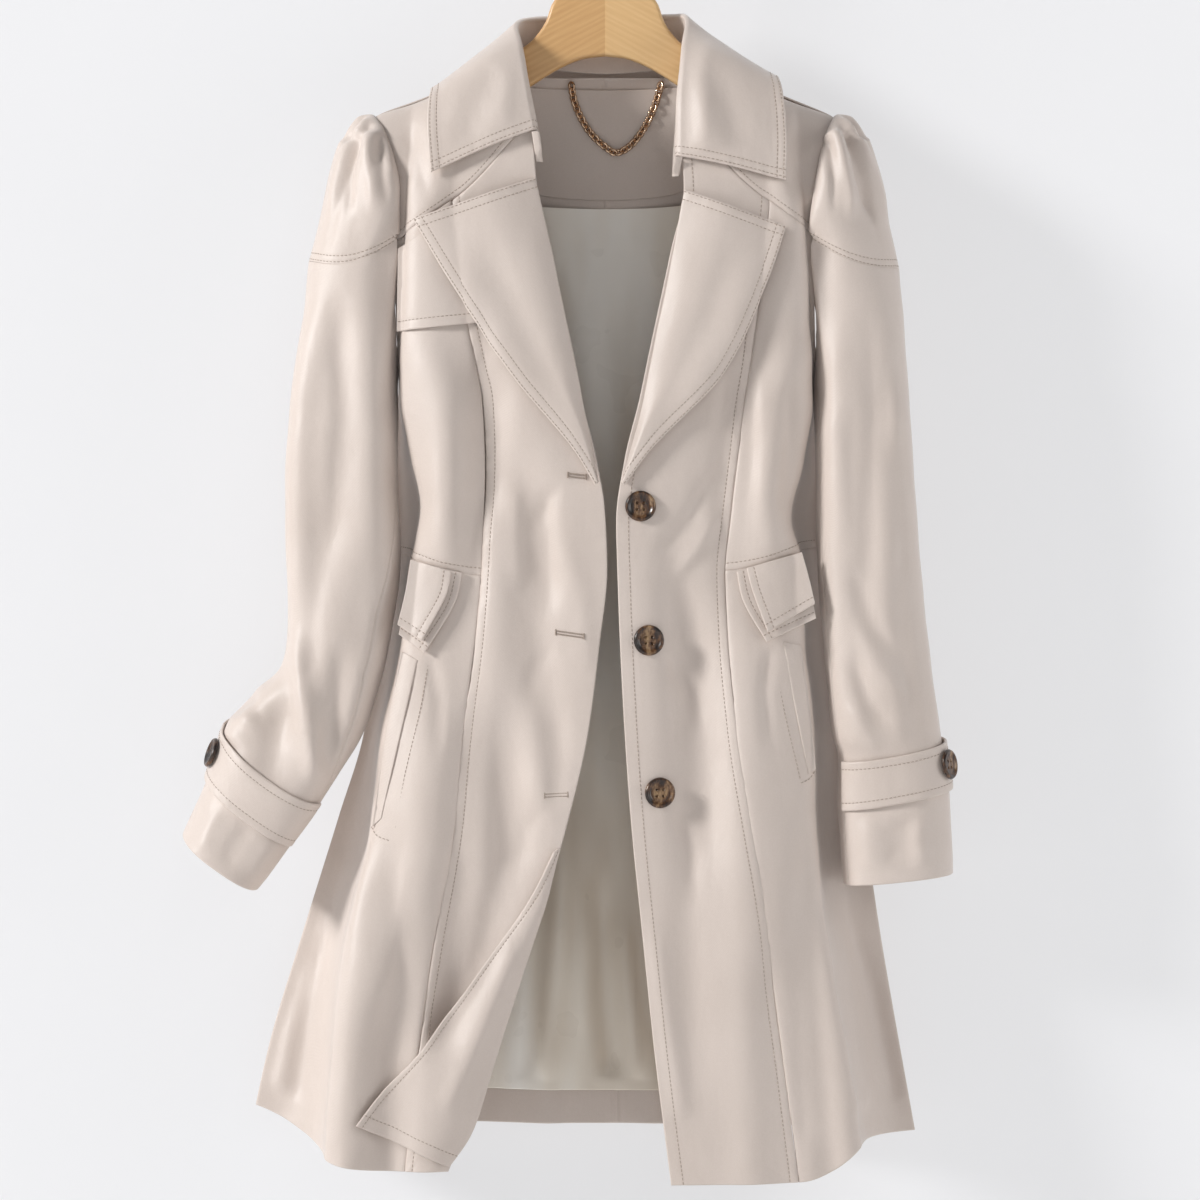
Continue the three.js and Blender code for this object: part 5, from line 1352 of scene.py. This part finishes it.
def make_sleeves():
    for side in SIDES:
        flip = side == "left"
        last = len(SLEEVE[side])
        group = f"stitches_sleeve_{side}"

        def shape(p, seed):
            front = facing_front(p)
            p.crease(SLEEVE_CREASES[side], front)
            p.crease(SLEEVE_BACK_CREASES[side], 1 - front)
            p.detail += waves(p.p, 50, 0.45, seed) + CLOTH

        p = Piece(lambda u, v: cap_skin(side, lerp(-CAP_REACH, CAP_REACH, u), v),
                  steps(240, 2), steps(110, 2), flip)
        q = lerp(-CAP_REACH, CAP_REACH, p.u)
        for centre, width, rise, reach in CAP_PLEATS:
            lean = q - centre * (1 + 0.5 * p.v)
            fade = smooth(p.v * 16) * np.exp(-((p.v / reach) ** 2))
            p.detail += rise * np.exp(-((lean / width) ** 2)) * fade
        p.crease(CAP_CREASES[side], facing_front(p))
        p.detail += waves(p.p, 40, 0.4, 16) + CLOTH
        seam_valley(p, ["v0"], 0.6)
        pucker(p, "v1", 9, 0.3, 30)
        finish_piece(f"sleeve_cap_{side}", p, CLOTH, [], CLOTH_LOOK, group, [("v1", 1.8, 0.25), ("v1", 7)])

        def upper(u, v):
            ring = v * last
            return sleeve_skin(side, lerp(BACK_SEAM - 360, seam_angle(side, ring), u), ring)

        def under(u, v):
            ring = v * last
            return sleeve_skin(side, lerp(seam_angle(side, ring), BACK_SEAM, u), ring)

        p = Piece(upper, steps(200, 3), steps(540, 3.2), flip)
        shape(p, 17)
        seam_valley(p, ["u0", "u1"])
        pucker(p, "v0", 10, 0.3, 31)
        pucker(p, "u1", 8, 0.25, 32)
        finish_piece(f"sleeve_upper_{side}", p, CLOTH, ["v1"], CLOTH_LOOK)
        p = Piece(under, steps(70, 3.2), steps(500, 3.6), flip)
        shape(p, 17)
        p.detail += ARMPIT_SWELL * np.exp(-(((p.p[..., 2] - ARMPIT_Z + 17) / 45) ** 2)) * np.sin(np.pi * p.u)
        seam_valley(p, ["u0", "u1"])
        finish_piece(f"sleeve_under_{side}", p, CLOTH, ["v1"], CLOTH_LOOK)

        start = seam_angle(side, STRAP_TOP) - 4

        def strap(u, v):
            return strap_skin(side, lerp(STRAP_END, start, u), lerp(STRAP_TOP, STRAP_BOTTOM, v))

        p = Piece(strap, steps(190, 3), steps(46, 2.6), flip)
        p.crease(SLEEVE_CREASES[side], facing_front(p))
        p.crease(SLEEVE_BACK_CREASES[side], 1 - facing_front(p))
        p.detail += DOUBLE
        for edge, seed in (("v0", 33), ("v1", 34), ("u0", 35)):
            pucker(p, edge, 7, 0.22, seed, 11)
        rows = [("v0", 6.5), ("v1", 6.5), ("u0", 6.5)]
        finish_piece(f"cuff_strap_{side}", p, DOUBLE, ["v0", "v1", "u0"], CLOTH_LOOK, group, rows)


def make_collar():
    p = Piece(rolled_collar, steps(560, 3.2), steps(120, 1.8))
    p.crease(COLLAR_CREASES, smooth(p.v * 4 - 0.2))
    p.detail += waves(p.p, 60, 0.4, 18)
    for edge, seed in (("v1", 36), ("u0", 37), ("u1", 38)):
        pucker(p, edge, 9, 0.22, seed, 13)
    rows = [(edge, *row) for edge in ("v1", "u0", "u1") for row in ((2.4, 0.25), (8,))]
    finish_piece("collar_fall", p, DOUBLE, ["v1", "u0", "u1"], CLOTH_LOOK, "stitches_collar", rows)

    p = Piece(rolled_stand, steps(360, 2), steps(48, 3))
    p.detail += waves(p.p, 45, 0.3, 19)
    finish_piece("collar_stand", p, CLOTH, ["u0", "u1"], FACING_LOOK)

    for side in SIDES:
        p = Piece(lambda u, v: lapel_skin(side, u, v), steps(90, 2.6), steps(270, 2.8), side == "right")
        p.crease(LAPEL_CREASES[side])
        p.detail += waves(p.p, 60, 0.4, 20)
        for edge, seed in (("u1", 39), ("v0", 40)):
            pucker(p, edge, 9, 0.22, seed, 13)
        rows = [(edge, *row) for edge in ("u1", "v0") for row in ((1.6, 0.2), (8,))]
        finish_piece(f"lapel_{side}", p, DOUBLE, ["u0", "u1", "v0"], CLOTH_LOOK, "stitches_collar", rows)

    p = Piece(corner_skin, steps(60, 2.4), steps(300, 3))
    p.crease(CORNER_CREASES, smooth(p.from_u0 / 12))
    pucker(p, "u1", 8, 0.25, 41, 13)
    finish_piece("turned_corner", p, DOUBLE, ["u0", "u1", "v1"], FACING_LOOK, "stitches_front_left",
                 [("u1", 5), ("v1", 11)])


def make_laid_pieces():
    def laid(node, side, borders, lifts, level, size, thick, free, rows, seed, group):
        p = Piece(lambda u, v: laid_skin(side, borders, lifts, level, u, v),
                  steps(size[0], 1.8), steps(size[1], 2.2), side == "right")
        p.crease(FRONT_CREASES[side])
        for edge in free:
            pucker(p, edge, 6, 0.2, seed, 11)
        finish_piece(node, p, thick, free, CLOTH_LOOK, group, rows)

    laid("storm_flap", "left", STORM_FLAP, (2.2, 4.2, 2.2, 4.2), 2, (62, 85), CLOTH, ["v1", "u0"],
         [("v1", 8)], 42, "stitches_front_left")
    for side in SIDES:
        group = f"stitches_front_{side}"
        laid(f"pocket_flap_under_{side}", side, FLAPS["under", side], (2.4, 7, 2.4, 6), 1.75, (40, 68), CLOTH,
             ["v1", "u0"], [("v1", 5.5), ("u0", 5.5)], 43, group)
        laid(f"pocket_flap_upper_{side}", side, FLAPS["upper", side], (5, 12, 5, 9.5), 1.75, (36, 60), CLOTH,
             ["v1", "u0"], [("v1", 6), ("u0", 6)], 44, group)
        laid(f"pocket_welt_{side}", side, WELTS[side], (1.1, 1.1, 1.6, 1.6), 1.86, (14, 135), CLOTH,
             ["u0", "v1"], [], 45, group)


def make_inside():
    p = Piece(facing_skin, steps(180, 4), steps(90, 4))
    p.detail += waves(p.p, 45, 0.3, 46)
    pucker(p, "v1", 8, 0.2, 47)
    finish_piece("back_neck_facing", p, FACING["thick"], ["v1"], FACING_LOOK,
                 "stitches_collar", [("v1", 3, 0)])
    p = Piece(lining_skin, steps(420, 5), steps(770, 7))
    p.crease(LINING_CREASES)
    p.detail += waves(p.p, 60, 0.9, 48)
    pucker(p, "v1", 14, 0.6, 49, 30)
    finish_piece("back_lining", p, LINING["thick"], ["v1"], SATIN_LOOK)

# Buttons, buttonholes and free stitching

def bands(rows, sides, closed=False, turned=False):
    """Faces between rings of points, and from the last ring to the first if closed."""
    low = np.arange(rows if closed else rows - 1)[:, None] * sides
    high = (low + sides) % (rows * sides)
    i = np.arange(sides)
    j = (i + 1) % sides
    corners = [low + i, high + i, high + j, low + j]
    if turned:
        corners = corners[:1] + corners[:0:-1]
    return np.stack(corners, -1).reshape(-1, 4).tolist()


def frame_at(point, normal):
    """Two directions on the coat's surface, the outward one and the place itself."""
    n = unit(np.asarray(normal, float))
    across = unit(np.cross([0.0, 0.0, -1.0], n))
    return across, np.cross(across, n), n, np.asarray(point, float)


HOLE_SPOTS = [(2.6, 2.6), (-2.6, 2.6), (-2.6, -2.6), (2.6, -2.6)]
BUTTON_SIDES = 72
# A button's face and underside: radius, height
BUTTON_FACE = [(0, 2.2), (7.6, 2.3), (9.0, 3.1), (10.4, BUTTON_THICK), (11.6, 3.9), (BUTTON / 2, 2.2)]
BUTTON_UNDER = [(12.125, 1.3), (10.5, 0.4), (6.25, 0.0), (0.01, 0.0)]


def make_button(node, point, normal, lift):
    """A dished, rimmed button with four holes and crossed threads."""
    across, up, n, base = frame_at(point, normal)
    radii = np.array([0, 0.6, 1.2, 1.8, 2.3, 2.8, 3.2, 3.6, 4.0, 4.5, 5.2, 6.2, 7.2, 8.0, 8.6, 9.2, 9.8, 10.5,
                      11.2, 11.8, 12.2, BUTTON / 2])
    height = np.interp(radii, *np.transpose(BUTTON_FACE))
    turns = np.arange(BUTTON_SIDES) * 2 * np.pi / BUTTON_SIDES
    x = radii[:, None] * np.cos(turns)
    y = radii[:, None] * np.sin(turns)
    z = np.repeat(height[:, None], BUTTON_SIDES, 1)
    for hx, hy in HOLE_SPOTS:
        z = z - 1.9 * smooth((1.25 - np.hypot(x - hx, y - hy)) / 0.55)
    for radius, level in BUTTON_UNDER:
        x = np.vstack([x, radius * np.cos(turns)])
        y = np.vstack([y, radius * np.sin(turns)])
        z = np.vstack([z, np.full(BUTTON_SIDES, level)])
    verts = base + (x[..., None] * across + y[..., None] * up + (z + lift)[..., None] * n)
    made[node] = make_mesh(f"{node}_horn", verts.reshape(-1, 3) * MM, bands(*x.shape))
    made[node].data.materials.append(HORN_LOOK)
    for (ax, ay), (bx, by) in ((HOLE_SPOTS[0], HOLE_SPOTS[2]), (HOLE_SPOTS[1], HOLE_SPOTS[3])):
        t = np.linspace(0, 1, 9)[:, None]
        arch = 1.3 + 1.1 * np.sin(np.pi * t) ** 0.5
        pts = base + lerp(ax, bx, t) * across + lerp(ay, by, t) * up + (arch + lift) * n
        add_stitches("button_threads", pts, np.repeat(n[None], 9, 0), 99, 7.6, 0.5)


def front_normal(side, x, z):
    """Outward direction of the finished front at a place of the front view."""
    spot = lambda dx, dz: one_point(on_front(side, np.array(x + dx), np.array(z + dz), 0))
    n = np.cross(spot(0, -8) - spot(0, 8), spot(8, 0) - spot(-8, 0))
    return n if n[1] < 0 else -n


# Middles of the front buttons on the plan, and each cuff button's turn round its sleeve
FRONT_BUTTONS = [(640, 507), (648, 640), (659, 791)]
CUFF_TURNS = (("left", 8), ("right", 24))


def make_buttons():
    for i, (bx, by) in enumerate(FRONT_BUTTONS):
        x, z = px(bx, by)
        point = one_point(on_front("right", np.array(x), np.array(z), 0))
        point[1] -= float(crease_rise(FRONT_CREASES["right"], np.array(x), np.array(z)))
        make_button(f"front_button_{i + 1}", point, front_normal("right", x, z), BUTTON_LIFT)
    row = (STRAP_TOP + STRAP_BOTTOM) / 2
    for side, angle in CUFF_TURNS:
        spot = lambda a, r: one_point(strap_skin(side, np.array(angle + a), np.array(row + r)))
        n = np.cross(spot(9, 0) - spot(-9, 0), spot(0, 0.3) - spot(0, -0.3))
        n = n if n[0] * outward(side) > 0 else -n
        make_button(f"cuff_button_{side}", spot(0, 0), n, CUFF_BUTTON_LIFT)


# Both ends of each buttonhole on the plan
BUTTONHOLES = [((568, 476), (586, 478)), ((556, 632), (584, 636)), ((545, 794), (568, 793))]


def surface_line(side, plan, count=40):
    """A line drawn on the finished front, given on the plan: its points and outward directions."""
    x, z = line([px(*p) for p in plan])(np.linspace(0, 1, count)).T[:2]
    _, y, _ = on_front(side, x, z, crease_rise(FRONT_CREASES[side], x, z))
    _, y_side, _ = on_front(side, x + 2, z, crease_rise(FRONT_CREASES[side], x + 2, z))
    normals = np.stack([(y_side - y) / 2, -np.ones_like(x), np.zeros_like(x)], -1)
    return np.stack([x, y, z], -1), normals


def make_buttonholes():
    """Each is two close rows of thread with a bar at both ends."""
    for start, stop in BUTTONHOLES:
        for off in (-1.5, 1.5):
            pts, n = surface_line("left", [(start[0], start[1] + off), (stop[0], stop[1] + off)])
            add_stitches("buttonhole_threads", pts, n, 0.9, 1.1, 0.55)
        for end in (start, stop):
            pts, n = surface_line("left", [(end[0], end[1] - 3), (end[0], end[1] + 3)])
            add_stitches("buttonhole_threads", pts, n, 0.9, 1.2, 0.6)


# Rows of stitches round the welts, on the plan
WELT_STITCHES = {
    "left": [(430, 659), (422, 707), (406, 776), (397, 827)],
    "right": [(771, 643), (782, 706), (799, 778)],
}
WELT_ENDS = {
    "left": [(372, 825), (378, 834), (391, 839)],
    "right": [(799, 782), (808, 778), (814, 770)],
}


def make_threads():
    for side in SIDES:
        for plan in (WELT_STITCHES[side], WELT_ENDS[side]):
            pts, n = surface_line(side, plan, 60)
            add_stitches(f"stitches_front_{side}", pts, n)
    for group, blocks in thread.items():
        blocks = np.concatenate(blocks)
        count = len(blocks)
        faces = [tuple(k + 10 * i for k in face) for i in range(count) for face in STITCH_FACES]
        piece = make_mesh(group, blocks.reshape(-1, 3) * MM, faces)
        piece.data.materials.append(THREAD_LOOK)
        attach(piece, "root")


# Hanger, hook and chain

HANGER_ROUND = 3.4


def make_hanger():
    """The wooden yoke: its outline swept with well rounded edges."""
    half = np.concatenate([line(HANGER_HALF[part])(np.linspace(0, 1, count))[:, :2]
                           for part, count in (("neck", 22), ("arm", 44), ("arch", 16))])
    outline = np.concatenate([half, (half[:-1] * np.array([-1, 1]))[::-1]])
    ahead = unit(np.roll(outline, -1, 0) - np.roll(outline, 1, 0))
    inward = np.stack([-ahead[:, 1], ahead[:, 0]], -1)
    radius = HANGER_ROUND
    rings = []
    for a in np.linspace(0, math.pi, 13):
        inset = radius * (1 - math.sin(a))
        y = (HANGER_THICK / 2 - radius) * math.copysign(1, math.cos(a)) + radius * math.cos(a)
        if abs(math.cos(a)) < 1e-9:
            y = 0.0
        ring = outline + inward * inset
        rings.append(np.stack([ring[:, 0], np.full(len(ring), y), ring[:, 1]], -1))
    count = len(outline)
    verts = np.concatenate(rings)
    faces = bands(len(rings), count)
    faces.append(range(count))
    faces.append(range(len(verts) - count, len(verts))[::-1])
    made["hanger"] = make_mesh("hanger_yoke", verts * MM, faces)
    made["hanger"].data.materials.append(WOOD_LOOK)


def tube(name, points, radius, sides, closed=False):
    """A round tube along a line of points, with its ends capped."""
    points = np.asarray(points, float)
    if closed:
        ahead = np.roll(points, -1, 0) - np.roll(points, 1, 0)
    else:
        ahead = np.gradient(points, axis=0)
    ahead = unit(ahead)
    up = np.cross(ahead[0], [0.3, 1.0, 0.2])
    rings = []
    for p, a in zip(points, ahead):
        up = unit(up - a * np.dot(up, a))
        across = np.cross(a, up)
        turns = np.arange(sides) * 2 * np.pi / sides
        rings.append(p + radius * (np.cos(turns)[:, None] * up + np.sin(turns)[:, None] * across))
    verts = np.concatenate(rings)
    faces = bands(len(points), sides, closed, True)
    if not closed:
        faces.append(range(sides)[::-1])
        faces.append(range(len(verts) - sides, len(verts)))
    return verts, faces


HOOK_STEM = [(0, 0, -60), (6, 0, -48.5)]


def make_hook():
    """The wire hook with the ferrule at its foot."""
    r = HOOK_INNER + WIRE / 2
    points = [(0, 0, HANGER_NECK_Z - 0.5)] + HOOK_STEM
    for a in range(-48, 206, 23):
        points.append((r * math.cos(math.radians(a)), 0, -HOOK_INNER + r * math.sin(math.radians(a))))
    path = line(points)(np.linspace(0, 1, 120))
    verts, faces = tube("hook", path, WIRE / 2, 20)
    made["hook"] = make_mesh("hook_wire", verts * MM, faces)
    made["hook"].data.materials.append(STEEL_LOOK)
    ring, ring_faces = tube("ferrule", [(0, 0, HANGER_NECK_Z - 1.0), (0, 0, HANGER_NECK_Z + 3.5)], 4.2, 28)
    ferrule = make_mesh("hook_ferrule", ring * MM, ring_faces)
    ferrule.data.materials.append(STEEL_LOOK)
    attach(ferrule, "root")


LINK = dict(long=8.8, wide=7.2, wire=1.15, pitch=4.7, tilt=38)


def make_chain():
    """A hang chain of oval links, each turned against the next."""
    path = line(CHAIN_ROUTE)(np.linspace(0, 1, 400))
    along = walked(path)
    count = int(along[-1] / LINK["pitch"])
    verts, faces = [], []
    total = 0
    turns = np.arange(20) * 2 * np.pi / 20
    for i in range(count):
        s = (i + 0.5) * along[-1] / count
        at = lambda w: np.array([np.interp(w, along, path[:, k]) for k in range(3)])
        ahead = unit(at(s + 2) - at(s - 2))
        face = unit(np.cross(ahead, [0, 1, 0]))
        out = np.cross(face, ahead)
        tilt = math.radians(LINK["tilt"] if i % 2 else -LINK["tilt"])
        wide = face * math.cos(tilt) + out * math.sin(tilt)
        half_long = LINK["long"] / 2 - LINK["wire"]
        half_wide = LINK["wide"] / 2 - LINK["wire"]
        loop = at(s) + half_long * np.cos(turns)[:, None] * ahead + half_wide * np.sin(turns)[:, None] * wide
        v, f = tube("link", loop, LINK["wire"], 7, True)
        verts.append(v)
        faces += [tuple(k + total for k in face_) for face_ in f]
        total += len(v)
    made["hang_chain"] = make_mesh("hang_chain_links", np.concatenate(verts) * MM, faces)
    made["hang_chain"].data.materials.append(BRASS_LOOK)

make_fronts()
make_backs()
make_sleeves()
make_collar()
make_laid_pieces()
make_inside()
make_buttons()
make_buttonholes()
make_threads()
make_hanger()
make_hook()
make_chain()

# Pieces under the root, and the solids they stand for hidden

TRIM_SLOTS = {"hanger": "hanger_wood", "hook": "hook_steel", "hang_chain": "chain_brass"}


for node, piece in made.items():
    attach(piece, "root")
    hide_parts(node)
    if "button" in node:
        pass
    elif node in TRIM_SLOTS:
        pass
    else:
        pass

# Stage, lights and camera

CENTRE = Vector((-0.0041, -0.02, -0.590))
WALL_Y = 0.078
WALL_TOP = 4
FLOOR_Z = -1.3
STAGE_REACH = 6


def stage_look(name, tone):
    look = Look(name, Roughness=0.9)
    look.colour(look.ramp(look.noise(3, 2), (0.3, tone), (0.7, [v + 1 for v in tone])))
    return look


def one_sided(look):
    """Lets the camera see through the back of a plane."""
    clear = look.node("ShaderNodeBsdfTransparent")
    back = look.node("ShaderNodeNewGeometry").outputs["Backfacing"]
    mix = look.node("ShaderNodeMixShader", {"Fac": back, 1: look.shader.outputs[0], 2: clear.outputs[0]})
    look.tree.links.new(mix.outputs[0], look.tree.nodes["Material Output"].inputs["Surface"])
    return look.material


def make_stage():
    far = STAGE_REACH
    wall = make_mesh("wall", [(-far, WALL_Y, FLOOR_Z), (far, WALL_Y, FLOOR_Z), (far, WALL_Y, WALL_TOP),
                              (-far, WALL_Y, WALL_TOP)], [(0, 1, 2, 3)])
    glowing_paint = stage_look("glowing_wall_paint", (158, 158, 160))
    # The wall glows: its emission is painted light that lifts the coat's shadow on the wall and lights the
    # coat from behind.
    glowing_paint.shader.inputs["Emission Color"].default_value = linear(244, 244, 245)
    glowing_paint.shader.inputs["Emission Strength"].default_value = 0.58
    wall.data.materials.append(one_sided(glowing_paint))
    floor = make_mesh("floor", [(-far, -far, FLOOR_Z), (far, -far, FLOOR_Z), (far, far, FLOOR_Z),
                                (-far, far, FLOOR_Z)], [(0, 1, 2, 3)])
    floor.data.materials.append(one_sided(stage_look("floor_paint", (240, 240, 240))))


def area_light(name, place, aim, size, watts):
    data = bpy.data.lights.new(name, "AREA")
    data.shape = "DISK"
    data.size = size
    data.energy = watts
    lamp = put(name, data)
    lamp.location = place
    lamp.rotation_euler = (Vector(aim) - Vector(place)).to_track_quat("-Z", "Y").to_euler()


make_stage()
# Name, place, aim, size and watts
for lamp in (("key_light", (-6.2, -3.0, 2.3), (0.0, 0.0, -0.6), 1.7, 470),
             ("front_fill", (0.6, -4.2, 0.3), (0.0, 0.0, -0.6), 3.0, 14),
             ("side_fill", (2.7, -1.1, -0.2), (0.2, 0.0, -0.6), 1.8, 21)):
    area_light(*lamp)
world = bpy.data.worlds.new("pale_room")
world.use_nodes = True
world.node_tree.nodes["Background"].inputs["Color"].default_value = (0.96, 0.97, 1.0, 1)
world.node_tree.nodes["Background"].inputs["Strength"].default_value = 0.2
bpy.context.scene.world = world
bpy.context.scene.view_settings.view_transform = "Standard"

DISTANCE = 4.0
VIEW_WIDTH = 0.984
camera_data = bpy.data.cameras.new("front_camera")
camera_data.sensor_width = 36
camera_data.lens = 36 * DISTANCE / VIEW_WIDTH
camera = put("front_camera", camera_data)
camera.location = (CENTRE.x, CENTRE.y - DISTANCE, CENTRE.z)
camera.rotation_euler = (math.pi / 2, 0, 0)
bpy.context.scene.camera = camera
